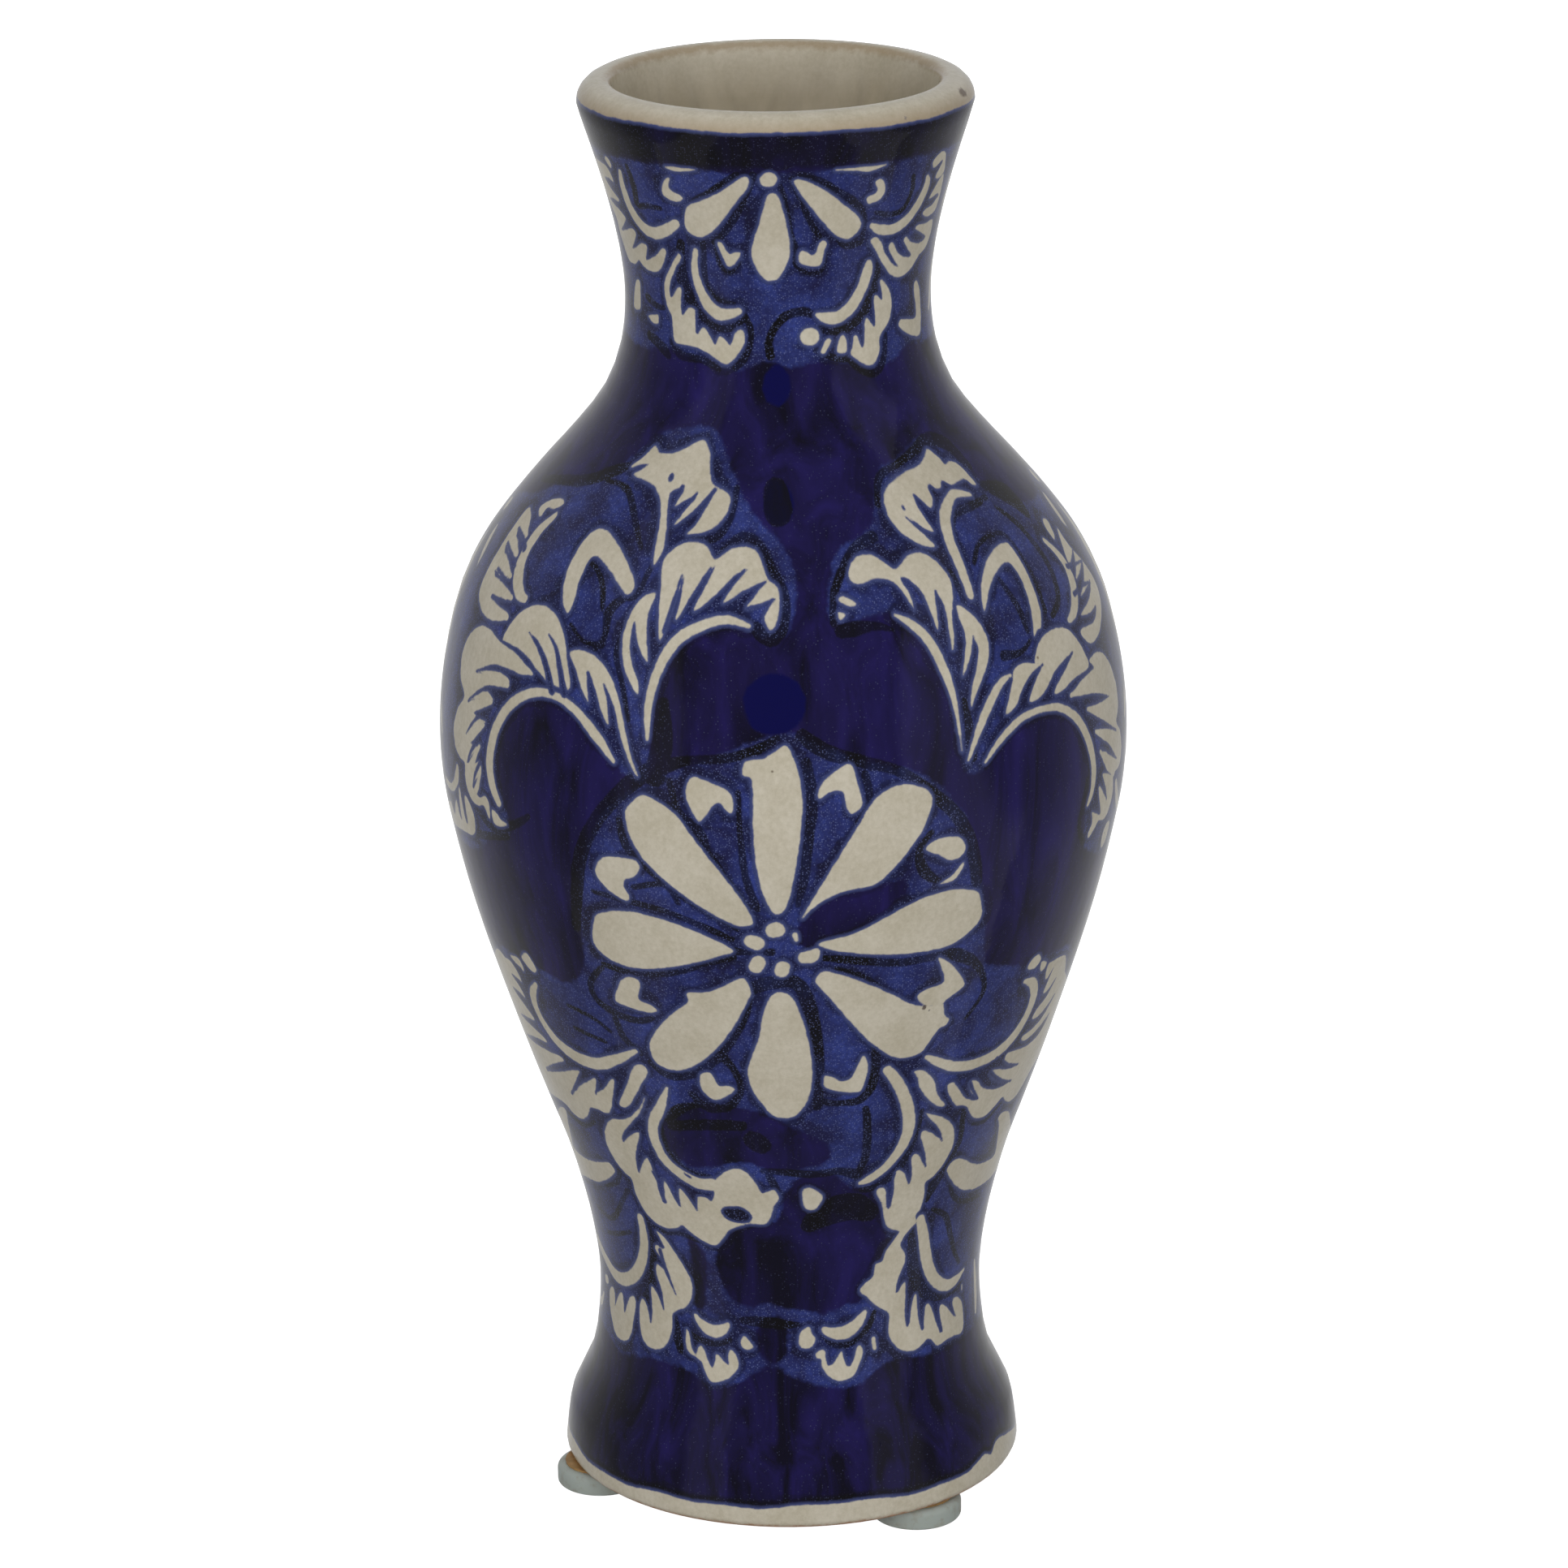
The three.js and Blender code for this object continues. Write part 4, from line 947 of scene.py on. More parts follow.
# %% Gaps between the fingers of each leaf
CUTS = [
    [(-71, 140, 0.2), (-66, 139.3, 0.3), (-63, 138.4, 0.35)],
    [(-71.5, 138, 0.2), (-66, 137, 0.3), (-63, 136.2, 0.35)],
    [(-69, 135, 0.2), (-64, 134.4, 0.3), (-60.5, 134, 0.3)],
    [(-66, 131.9, 0.2), (-60, 131.9, 0.35), (-57, 131.4, 0.35)],
    [(-57.5, 127.4, 0.15), (-52, 126.9, 0.3), (-48, 125.7, 0.35), (-44.5, 124.4, 0.35)],
    [(-64, 122.1, 0.15), (-60, 123.3, 0.3), (-55, 124, 0.35), (-50, 123.9, 0.35)],
    [(-65, 118, 0.15), (-61, 120.1, 0.3), (-58, 121, 0.35), (-53.5, 121.4, 0.35)],
    [(-65, 113.2, 0.15), (-62, 115.8, 0.3), (-58.5, 117.7, 0.4)],
    [(-64, 109.5, 0.2), (-62.3, 111.7, 0.35), (-59, 114.3, 0.4)],
    [(-62, 106.8, 0.15), (-60.8, 108.8, 0.3), (-58.5, 111.2, 0.35)],
    [(-50.4, 129.7, 0.1), (-47.4, 128.6, 0.35), (-44.6, 126.6, 0.5), (-42.1, 123.4, 0.65)],
    [(-45.4, 130.2, 0.1), (-42.9, 128.8, 0.3), (-41.2, 126.6, 0.45), (-39.3, 123.4, 0.65)],
    [(-35, 126.6, 0.15), (-34.2, 125, 0.3), (-33.2, 122.6, 0.35)],
    [(-31.5, 125.5, 0.15), (-30, 123.5, 0.3), (-28.8, 120.2, 0.35)],
    [(-20.2, 139.5, 0.15), (-20.7, 136.5, 0.3), (-21.5, 133, 0.35)],
    [(-14.5, 140.5, 0.2), (-16.5, 138, 0.32), (-18.6, 134.8, 0.35)],
    [(-7.5, 140.5, 0.2), (-10.5, 138.5, 0.35), (-14.5, 135.9, 0.4)],
    [(-3.6, 139.1, 0.15), (-7, 137.9, 0.3), (-10.5, 136.2, 0.35)],
    [(-1.4, 137.2, 0.15), (-4, 136.5, 0.3), (-7, 136, 0.3)],
    [(-27.6, 133.5, 0.15), (-26.6, 131, 0.3), (-25, 127.6, 0.35)],
    [(-24.5, 137, 0.1), (-24, 134, 0.25), (-23.5, 130.3, 0.3)],
    [(-26, 149.2, 0.3), (-27.6, 147.6, 0.4)],
    [(-21.6, 148.6, 0.2), (-24.6, 146.4, 0.35)],
    [(-17, 149.2, 0.25), (-20, 147, 0.35), (-23.8, 144.9, 0.3)],
    [(34.6, 147.4, 0.2), (35.6, 146.2, 0.45), (36.4, 144.8, 0.5)],
    [(30, 145.2, 0.15), (33, 143.3, 0.3), (35.4, 141.4, 0.35)],
    [(30.4, 136.6, 0.2), (30.1, 134.4, 0.35), (29.9, 132, 0.4)],
    [(35.5, 130.6, 0.15), (34.5, 128, 0.3), (32.8, 124.8, 0.35)],
    [(49.7, 124.8, 0.15), (46, 123.6, 0.35), (43.6, 121.4, 0.4)],
    [(41.3, 124.4, 0.15), (39.8, 122, 0.35), (38.6, 120.6, 0.35)],
    [(59, 124.7, 0.15), (54, 123.2, 0.35), (49.5, 121.2, 0.4)],
    [(65.3, 121.3, 0.15), (60, 121.2, 0.3), (55.5, 120.5, 0.35)],
    [(70, 116.2, 0.15), (65, 117.3, 0.3), (60, 118.2, 0.35)],
    [(72.5, 110.8, 0.15), (67, 112.8, 0.3), (62, 114.6, 0.35)],
    [(72.5, 106.8, 0.15), (68, 108.8, 0.3), (64, 110.9, 0.35)],
    [(68, 102, 0.15), (66.5, 104, 0.3), (64.5, 106.2, 0.35)],
    [(75, 138.8, 0.15), (70.8, 137.4, 0.35)],
    [(77.5, 133.5, 0.15), (72, 134, 0.3), (68.6, 134.4, 0.35)],
    [(76, 130.8, 0.15), (71, 131.4, 0.3), (66, 131.1, 0.35)],
    [(73.5, 128, 0.15), (69, 127.3, 0.3), (64.6, 127.9, 0.4)],
    [(-66, 62.5, 0.3), (-60, 64.3, 0.4), (-54, 66, 0.4)],
    [(-56, 60.8, 0.15), (-52, 63, 0.3), (-47.6, 66, 0.35)],
    [(-45.8, 62.8, 0.15), (-43.4, 65.6, 0.3)],
    [(-41.6, 55.8, 0.15), (-39, 57.5, 0.35), (-36.5, 58.6, 0.35)],
    [(-39.6, 51, 0.15), (-38, 53.4, 0.3), (-36, 54.7, 0.3)],
    [(-33.7, 46.9, 0.35), (-33.8, 48.6, 0.15), (-34.8, 51.6, 0.3)],
    [(-29.3, 46.8, 0.15), (-30, 49, 0.25), (-31.2, 51.2, 0.3)],
    [(-24.3, 46.5, 0.15), (-25.5, 48.3, 0.25), (-27.2, 50.2, 0.3)],
    [(38, 55.8, 0.15), (35.5, 58, 0.35), (32, 60.3, 0.3)],
    [(35, 52, 0.15), (33, 54, 0.3), (30.8, 56.6, 0.35)],
    [(31, 49.8, 0.15), (29.5, 52, 0.3), (28, 54.2, 0.3)],
    [(26, 46.5, 0.2), (25.5, 49, 0.35), (25.9, 51.9, 0.4)],
    [(46, 61.3, 0.15), (43, 63.5, 0.3), (40.6, 66, 0.35)],
    [(58, 61.5, 0.15), (52, 63, 0.35), (45.6, 66.2, 0.4)],
    [(59, 64, 0.15), (54, 65, 0.3), (48.6, 67.2, 0.35)],
    [(-35.5, 31.5, 0.1), (-38, 35, 0.3), (-39, 38.2, 0.35)],
    [(-40.8, 28.5, 0.15), (-41.5, 31.5, 0.35), (-43, 34.2, 0.35)],
    [(-46.5, 25.8, 0.2), (-47, 28.5, 0.4), (-48, 30.4, 0.4)],
    [(32.3, 31.9, 0.2), (33.5, 34.2, 0.35), (35, 36.4, 0.4)],
    [(37, 26.5, 0.35), (36.8, 29, 0.5), (37.5, 32.8, 0.6)],
    [(42.5, 25, 0.25), (41.5, 27.5, 0.35), (40.8, 30.4, 0.4)],
    [(50.5, 23.3, 0.25), (49, 25.5, 0.35), (47.2, 28, 0.4)],
    [(58, 24.5, 0.15), (56, 26.3, 0.3), (54.6, 28.2, 0.35)],
]
print("gaps cut:", len(CUTS))

# %% [markdown]
# ## Washes and patches
# Before the dark cobalt went on, the painter brushed thin cobalt over whole areas: the neck's
# band, the ground of each palmette, and everything round and below the rosette. The outlines
# say how far each wash reaches. A few loaded strokes of full-strength cobalt lie over it.
# %% Thin washes
WASHES["neck"] = [
    [(-110, 191.6), (-90, 191.8), (-60, 191.6), (-30, 191.9), (-12, 191.3), (0, 191.6), (15, 191.8),
     (40, 191.9), (60, 191.8), (90, 191.6), (110, 191.6), (110, 164.6), (90, 164.4), (70, 164.2),
     (55, 164.9), (46, 163.4), (36, 162.8), (26, 163.9), (14, 164.6), (4, 164), (-4, 164.8),
     (-14, 163.6), (-24, 163.7), (-36, 164.9), (-48, 165.2), (-60, 164.4), (-75, 165.1),
     (-90, 164.5), (-110, 164.6)],
]
WASHES["left palmette"] = [
    [(-110, 140), (-97, 140.5), (-90, 142), (-82, 143), (-75, 144), (-68, 146), (-60, 147),
     (-50, 149.5), (-45, 152), (-38, 155), (-28, 156), (-20, 155.8), (-12, 150.5), (-6, 146.5),
     (0, 143.5), (3, 139), (1.5, 134), (-1, 132.5), (-5, 133.3), (-10, 134), (-16, 132.5),
     (-20, 128.5), (-21.8, 123), (-22, 117), (-22.5, 113.5), (-26, 114), (-30, 117), (-36, 120.3),
     (-42, 122), (-48, 121), (-52, 118), (-54, 113), (-53.5, 108.5), (-51.5, 104.5), (-52, 101),
     (-57, 100.5), (-63, 97), (-74, 95.5), (-90, 95), (-110, 95)],
]
WASHES["right palmette"] = [
    [(9, 134.5), (9, 138), (12, 142.5), (20, 144.5), (24, 148), (28, 151), (36, 152), (46, 153.5),
     (52, 152), (57, 149), (58, 146.5), (64, 143.5), (72, 142.5), (80, 142.6), (90, 144.6),
     (110, 144.6), (110, 92.6), (90, 92.6), (72, 93), (64, 95.5), (60.5, 97), (59, 102.5),
     (60.3, 105.5), (60.3, 108.5), (59, 112.5), (56, 115.8), (52, 118.3), (47, 119), (42, 118.3),
     (37, 116.3), (33, 113), (30, 114), (29.5, 118), (28.6, 124), (27, 129), (24, 132.3),
     (20, 134.8), (14, 134.5)],
]
WASHES["rosette"] = [
    [(0, 121), (5, 119.5), (14, 116.5), (22, 114.5), (28, 110), (31.5, 105), (33.5, 99),
     (35.5, 94.5), (36.5, 90), (38, 84.5), (45, 82.6), (50, 81.6), (58, 81.5), (66, 80.8),
     (76, 76.5), (90, 73.8), (110, 73.8), (110, 20.4), (90, 20.2), (64, 20.5), (50, 20.5),
     (30, 21.5), (20, 19), (8, 19.5), (0, 21), (-8, 22), (-15, 20), (-24, 18.5), (-32, 20.5),
     (-45, 20.5), (-60, 19), (-70, 20), (-90, 20.6), (-110, 20.6), (-110, 78.6), (-90, 78.4),
     (-78, 79.8), (-66, 81.8), (-53, 81.6), (-45, 80.8), (-40, 83), (-38, 86), (-37.5, 92),
     (-36, 98), (-33, 105), (-28, 110.5), (-20, 114.5), (-12, 117.5)],
]
print("thin washes:", sum(map(len, WASHES.values())))

# %% Full-strength patches
DARK_PATCHES = [
    [(1.6, 92), (2.5, 94.5), (5.5, 97.5), (9.5, 99.2), (14, 99.7), (20, 99.5), (20, 97.5),
     (17, 95.3), (12.5, 93), (8, 91.8), (6, 91.2), (4.5, 90.4), (2.8, 90.9)],
    [(-30, 60.4), (-26, 62.4), (-20, 64.4), (-13, 65), (-6, 64.2), (0, 62), (6, 59.8), (9.4, 57.8),
     (9, 55.8), (4, 54.8), (-4, 54.3), (-9, 55.6), (-16, 54.8), (-23, 54), (-28, 56.4)],
    [(-16, 44), (-10, 45), (-3, 45.8), (-1, 50.5), (3, 53.2), (10, 53.4), (15, 51), (21, 49.4),
     (24.5, 46), (25.5, 43), (28, 41), (26, 38), (23.5, 36.4), (20, 34.2), (21, 31.5), (16, 31.5),
     (11, 30.4), (6, 30.6), (-1, 31.6), (-7, 32.2), (-12, 31.4), (-17, 32.4), (-20, 35), (-21, 38),
     (-19, 41.4)],
    [(-28.6, 41.6), (-26, 41), (-23.4, 37.8), (-24.6, 33.6), (-26, 30.4), (-28.6, 30), (-29.4, 33),
     (-28.2, 36)],
    [(-8, 29.6), (-3, 30), (-1, 27), (-2, 23.6), (-6, 22.8), (-9.4, 24.4), (-10, 27.4)],
]
print("dark patches:", len(DARK_PATCHES))

# %% [markdown]
# ## Drawn lines
# The liner brush also drew in the washes, with nothing white beside it: echoes of the leaves,
# the ring round the rosette, and the lines between its petals. They are open paths like the
# strokes, and they fire to the same blue-black as the seams round the white shapes.
# %% Drawn lines
INK_LINES["rosette"] = [
    [(3, 120.5, 0.9), (7, 118.2, 1), (13, 116.6, 0.8), (19, 114.8, 0.7), (25, 110.8, 0.9),
     (28.8, 107.5, 0.9), (31.5, 103, 1), (33.2, 97.5, 0.9)],
    [(-1, 120.2, 0.5), (-5, 118.4, 0.7), (-10, 117.4, 0.6), (-15, 117, 0.6), (-19, 116, 0.9),
     (-24, 114, 1.2), (-31, 108, 1), (-35, 102, 1.1), (-37, 96, 1), (-38.5, 90.5, 0.7)],
    [(-20.3, 124, 0.9), (-20, 119, 1.5), (-21, 114.5, 1.5)],
    [(-18.8, 110.8, 0.4), (-15, 107, 0.6), (-12, 104, 0.6), (-9, 100, 0.6), (-6, 96.6, 0.5)],
    [(-7.4, 113, 0.4), (-7, 107, 0.4), (-6.3, 101, 0.5), (-4.6, 96.5, 0.5)],
    [(3.6, 117, 0.7), (4.4, 112, 0.8), (3.8, 107, 0.7), (3, 101, 0.6), (2, 97, 0.4)],
    [(-27.3, 108, 0.5), (-26, 104, 0.6), (-22, 101, 0.5), (-17, 98, 0.6), (-11, 95, 0.5),
     (-8, 93.4, 0.4)],
    [(-33.5, 96.7, 0.3), (-28, 96.3, 0.5), (-20, 95.3, 0.4), (-13, 93.2, 0.5), (-9, 91.8, 0.4)],
    [(-34, 85.6, 0.4), (-28, 85, 0.5), (-20, 86, 0.5), (-14, 88, 0.6), (-9, 89, 0.5)],
    [(-7, 83.6, 0.9), (-8, 80, 0.9), (-11, 76, 1), (-14, 73, 0.9), (-18, 70.3, 0.8), (-24, 69, 0.6),
     (-28, 70.8, 0.6)],
    [(-7, 83.8, 0.9), (-4, 85, 1.1), (0, 85.4, 1), (2.2, 84.8, 1), (3.8, 82, 1), (5, 78, 0.9),
     (6, 73, 0.8), (6.3, 68, 0.7), (6, 65, 0.7)],
    [(6.5, 88.9, 0.5), (12, 88.2, 0.6), (20, 87.1, 0.6), (27, 87.2, 0.6), (31, 86.8, 1),
     (36, 84.4, 0.6), (39, 80, 0.4), (36, 76, 0.3)],
    [(8.5, 87.2, 0.3), (14, 85.3, 0.4), (20, 81.3, 0.3)],
    [(-34.5, 85, 0.4), (-38, 82, 0.5), (-37.5, 79.5, 0.5), (-34, 78, 0.6), (-29, 77.4, 0.5),
     (-25.5, 78.2, 0.4)],
    [(-34, 77, 0.5), (-33, 74, 0.6), (-30, 72, 0.5)],
    [(-25.5, 98.4, 0.4), (-20, 99.4, 0.4), (-17.8, 96.8, 0.4)],
    [(-18.5, 114, 0.5), (-17, 110, 0.5), (-14, 107.6, 0.8), (-12.5, 105, 0.6)],
    [(13, 115, 0.6), (13.6, 111.5, 0.5), (11.5, 108.4, 0.4)],
    [(24, 106, 0.4), (22, 103.6, 0.6), (23, 100.5, 0.8), (26, 98.6, 0.4)],
    [(-20, 66.5, 0.5), (-17, 64.5, 0.7), (-12, 65, 0.6), (-9.5, 68, 0.5), (-10.5, 71, 0.5),
     (-13, 73.5, 0.8)],
    [(6.3, 66, 0.5), (10, 65.3, 0.5), (15, 65.6, 0.6), (17.3, 68, 0.7), (17.3, 73, 0.7),
     (16.3, 75.5, 0.4)],
    [(-8.6, 90, 0.6), (-5.5, 89.8, 0.4), (-2.5, 90, 0.6)],
    [(-46, 77, 0.3), (-40, 76.2, 0.3), (-36, 74.6, 0.3)],
    [(-46, 73.4, 0.3), (-38, 72.6, 0.3)],
]
INK_LINES["palmettes"] = [
    [(-78, 145.5, 0.4), (-66, 146.8, 0.6), (-58, 147.6, 0.7), (-50, 149.4, 0.8),
     (-44.5, 150.6, 0.4)],
    [(-50, 148.3, 0.25), (-43, 148.2, 0.35), (-39, 147, 0.4), (-35.5, 145, 0.4), (-31, 142, 0.3)],
    [(-44, 137.5, 0.25), (-42, 139.3, 0.3), (-39, 138.6, 0.35), (-36.5, 137, 0.4),
     (-35, 134.5, 0.3)],
    [(-31, 136.4, 0.5), (-33.4, 134.4, 0.7), (-33, 131.4, 0.4), (-34.5, 129.6, 0.4)],
    [(-41, 132, 0.25), (-37, 130.3, 0.3), (-33, 130.3, 0.4)],
    [(-13.5, 141.6, 0.6), (-9, 144, 0.7), (-5, 143.4, 0.6), (-2, 140.6, 0.7), (0.6, 137.5, 0.6),
     (0.3, 134, 0.6), (-2, 132.4, 0.8), (-4.5, 133.8, 0.9)],
    [(-11.3, 149.5, 0.4), (-12, 146, 0.5), (-15, 143.8, 0.5), (-20, 143.9, 0.3)],
    [(-26, 143, 0.5), (-27.5, 139.5, 0.4), (-28.5, 136.8, 0.5), (-31, 136.4, 0.5)],
    [(-29, 134.5, 0.3), (-30, 130, 0.4), (-28, 126, 0.4), (-26.3, 121.5, 0.4)],
    [(-62, 104, 0.4), (-60, 102.8, 0.5), (-56, 101.8, 0.6), (-50, 103.5, 0.6), (-46, 105.5, 0.4)],
    [(-68, 99, 0.5), (-60, 99.8, 0.6), (-52, 101.4, 0.5)],
    [(20.5, 143.6, 0.7), (16, 142.6, 0.6), (12.5, 140.4, 0.6), (10, 137.5, 0.5), (9.4, 134.3, 0.5)],
    [(24, 147, 0.4), (27, 150, 0.5), (33, 151, 0.4), (43, 152.4, 0.6), (49, 153, 0.8),
     (55, 151.8, 1), (57.5, 149, 0.7)],
    [(57.5, 146.4, 0.5), (61, 145.5, 1.1), (65, 144.2, 1.6), (66.5, 142, 0.9)],
    [(38.6, 141.5, 0.3), (41, 143.6, 0.4), (44, 144.6, 0.5), (50, 144.9, 0.5), (56, 145.2, 0.3)],
    [(57, 143.8, 0.3), (60.5, 141, 0.5), (62, 137, 0.5), (61.5, 134, 0.5), (59.5, 131.5, 0.5),
     (56, 130.2, 0.4)],
    [(45.5, 137, 0.3), (47.5, 133, 0.5), (48, 129.5, 0.4)],
    [(41.5, 138.8, 0.25), (45, 140.6, 0.3), (50, 141.2, 0.3), (54.3, 140.5, 0.3), (55.3, 136, 0.3),
     (54.3, 131, 0.4)],
    [(41, 127.4, 0.7), (45, 127.2, 0.4), (48, 128.3, 0.3)],
    [(35, 138.4, 0.5), (36, 135.8, 0.6), (34.8, 133.5, 0.3)],
    [(10.5, 133.2, 0.8), (13, 133.4, 0.9), (17, 133.6, 0.5), (20, 132.9, 0.3)],
    [(31.4, 123, 0.4), (31.8, 118, 0.8), (32, 115.2, 0.6)],
    [(60, 97.6, 0.5), (57.5, 100.5, 0.5), (58, 103.5, 0.5), (59.3, 107, 0.4)],
    # Painted reflection: a near-black round spot at the front centre, over the middle painted
    # reflection spot.
    [(-1.2, 149.2, 1.6), (-0.6, 147.2, 1.9)],
]
INK_LINES["neck"] = [
    [(-7, 191.2, 0.6), (-9, 188.5, 0.4), (-13, 185.3, 0.5), (-18, 182.4, 0.5), (-22, 181, 0.4)],
    [(1, 189.5, 0.4), (3, 186, 0.4), (4.6, 182, 0.4), (6, 180.5, 0.5)],
    [(4.5, 190.6, 0.5), (7.5, 187.5, 0.5), (11, 184, 0.45), (14.5, 181.8, 0.4), (17, 181, 0.4)],
    [(7, 191.3, 0.5), (14, 189.7, 0.6), (20, 187.8, 0.6), (26, 186.1, 0.6), (29.7, 184, 0.5),
     (30, 181, 0.4)],
    [(-12, 191.2, 0.5), (-20, 188.5, 0.5), (-28, 186.5, 0.4), (-32, 184.6, 0.3)],
    [(-35, 180.5, 0.6), (-37, 176.5, 1), (-35, 173.4, 1), (-32, 171.5, 0.6), (-28, 170, 0.5),
     (-22, 169, 0.5), (-16, 169.4, 0.5), (-12, 171, 0.4)],
    [(38.5, 178, 0.3), (37.5, 174.5, 0.9), (35, 171.5, 0.8), (31, 169.8, 0.6), (25, 168.6, 0.6),
     (19, 168.8, 0.8), (15.5, 169, 0.5)],
    [(-3, 165.6, 0.6), (-3.5, 167.5, 0.5), (-1, 169.5, 0.5), (3, 171, 0.6), (9, 171.5, 0.6),
     (13, 170.9, 0.5)],
    [(-12, 171, 0.4), (-10, 168.5, 0.4), (-12, 165.5, 0.5), (-16, 163.8, 0.4)],
    [(-43, 166.4, 0.5), (-38, 164.8, 0.6), (-28, 164.5, 0.5), (-22, 163.5, 0.4)],
    [(13.5, 166.2, 0.4), (20, 165, 0.5), (26, 164.5, 0.5), (30, 163, 0.4), (36, 162.2, 0.5),
     (41, 163.8, 0.5), (43, 167, 0.4)],
    [(-52.5, 190.5, 0.4), (-52, 187, 0.6), (-53, 184.8, 0.4), (-47, 185, 0.4), (-41, 185, 0.3)],
    [(-57, 171.6, 0.6), (-51, 170.7, 0.4), (-47, 170.8, 0.4)],
    [(-56, 166.5, 0.6), (-48, 165.4, 0.7), (-44, 164.4, 0.5)],
    [(34, 184.5, 0.3), (40, 183.8, 0.4), (46, 184.2, 0.4), (48.5, 186.5, 0.4), (47.5, 188.8, 0.4)],
    [(-21.5, 180.5, 0.25), (-20.5, 178, 0.35), (-17, 176.9, 0.35), (-13, 178.4, 0.3)],
    [(6, 180, 0.25), (6.5, 178, 0.35), (11, 176.8, 0.35), (15.5, 177, 0.35), (17, 179.5, 0.3)],
    [(-26, 181, 0.5), (-27, 177, 0.5), (-26, 174.6, 0.4), (-22, 173, 0.35), (-16, 172.6, 0.25)],
    [(20.5, 181.5, 0.4), (24, 180.3, 0.5), (30, 180.5, 0.4)],
    [(-9, 193.9, 0.2), (-5, 193.2, 0.5), (0, 192.6, 0.8), (5, 193.2, 0.5), (9, 194, 0.2)],
]
INK_LINES["scrolls"] = [
    [(16.5, 64, 0.5), (17.5, 60, 0.6), (17.8, 56, 0.6), (16.8, 53.6, 0.6)],
    [(-6, 54.3, 0.4), (0, 54, 0.6), (6, 53.6, 0.6), (12, 53.8, 0.6), (16.5, 52.8, 0.8)],
    [(-3, 51, 0.6), (-4.6, 53.4, 0.5)],
    [(-29, 61, 0.4), (-29.3, 57, 0.5), (-27.5, 54.2, 0.6), (-23, 52.7, 0.5), (-19, 52.6, 0.4)],
    [(-27, 61.5, 0.6), (-24, 63.4, 0.8), (-20, 64.6, 0.5), (-15.5, 65, 0.4)],
    [(30, 62, 0.4), (29.5, 58, 0.6), (28, 54, 0.7), (25, 51.5, 0.6), (21, 50.2, 0.6),
     (18, 50.3, 0.5)],
    [(42, 62.6, 0.4), (43, 58, 0.5), (44.2, 55, 0.5), (42.5, 51.5, 0.5), (39.5, 48.5, 1),
     (38, 46, 0.5)],
    [(47, 57, 0.3), (52, 56.5, 0.4), (57, 58.3, 0.3)],
    [(45, 49.3, 0.4), (47, 46, 0.4), (52, 43.5, 0.4), (58, 42.6, 0.4), (64, 42.2, 0.3)],
    [(41, 44, 0.3), (47, 42, 0.45), (51, 38.5, 0.5), (55, 35, 0.4), (59, 32.5, 0.3)],
    [(35.6, 41, 0.8), (37.5, 37, 1.1), (40, 33.5, 1.1), (43, 31, 0.9), (48, 29, 0.7),
     (55, 28.3, 0.5), (62, 28.6, 0.4)],
    [(-53, 28.3, 0.4), (-47, 29.9, 0.7), (-43.4, 33.5, 0.8), (-42, 37, 0.7), (-41.5, 41, 0.5),
     (-41, 44, 0.4)],
    [(-67, 40.5, 0.3), (-60, 40, 0.4), (-55, 41.5, 0.4), (-50, 44.5, 0.4), (-46, 47, 0.4)],
    [(-64, 37, 0.3), (-57, 38, 0.35), (-50, 39.5, 0.3)],
    [(-47, 50, 0.5), (-50, 47.5, 0.35), (-56, 46, 0.3)],
    [(-64, 56.5, 0.3), (-56, 55.8, 0.4), (-50, 57.5, 0.3)],
    [(-42, 42.3, 0.3), (-36, 41.6, 0.5), (-31, 42, 0.4), (-25, 41.2, 0.3)],
    [(34.8, 41.2, 0.4), (36.2, 38.4, 0.9), (37.6, 35, 1.1), (40, 31.6, 0.8), (44, 29.4, 0.5)],
    [(5, 45, 1.2), (10, 47, 2.2), (16, 47.5, 2.2), (21, 46, 1.4)],
    [(-7.5, 59.4, 1.5), (-6, 58.6, 1.4)],
    [(-26, 60.6, 0.8), (-18, 61.5, 0.9), (-10, 61.8, 0.8)],
    [(-15.8, 46.3, 1.1), (-13.4, 46.6, 1.4), (-11.4, 46.4, 1.1)],
]
INK_LINES["buds"] = [
    [(-37, 29, 0.4), (-36.5, 26, 0.9), (-34.5, 23, 0.5)],
    [(-31, 26, 0.4), (-27, 25.2, 0.5), (-22, 25.3, 0.6), (-18, 26, 0.4)],
    [(9, 27.2, 0.3), (12, 25.7, 0.5), (16, 25.2, 0.6), (20, 26, 0.5), (23.5, 27.5, 0.5),
     (25.3, 29.5, 0.4)],
    [(-14, 29.2, 0.6), (-9, 29.2, 0.8), (-3, 28.9, 0.8), (2, 28.8, 0.4)],
    [(-15, 46.5, 1.2), (-12.4, 46.6, 1.25)],
]
print("drawn lines:", sum(map(len, INK_LINES.values())))

# %% Painted reflection spots
# Painted reflections: three round spots of saturated blue down the front, between the palmettes,
# where round lamp reflections lie on the glaze.
PAINTED_REFLECTION_SPOTS = [
    [(-0.8, 165.8), (-0.1, 164.7), (3, 163.6), (4.6, 161.8), (2.6, 159.6), (-1, 158.9),
     (-4.8, 159.8), (-6.2, 161.9), (-4.4, 163.6), (-1.5, 164.7)],
    [(-1.4, 128.6), (2.6, 127.4), (4, 124.6), (2.2, 121.6), (-1.6, 120.6), (-5.4, 121.6),
     (-6.9, 124.6), (-5.4, 127.4)],
    [(-1, 150.8), (2.4, 149.6), (3.4, 147.6), (1.8, 145.8), (-1.4, 145.4), (-3.8, 146.6),
     (-4.2, 148.8), (-3, 150.4)],
]
print("painted_reflection_spots:", len(PAINTED_REFLECTION_SPOTS))

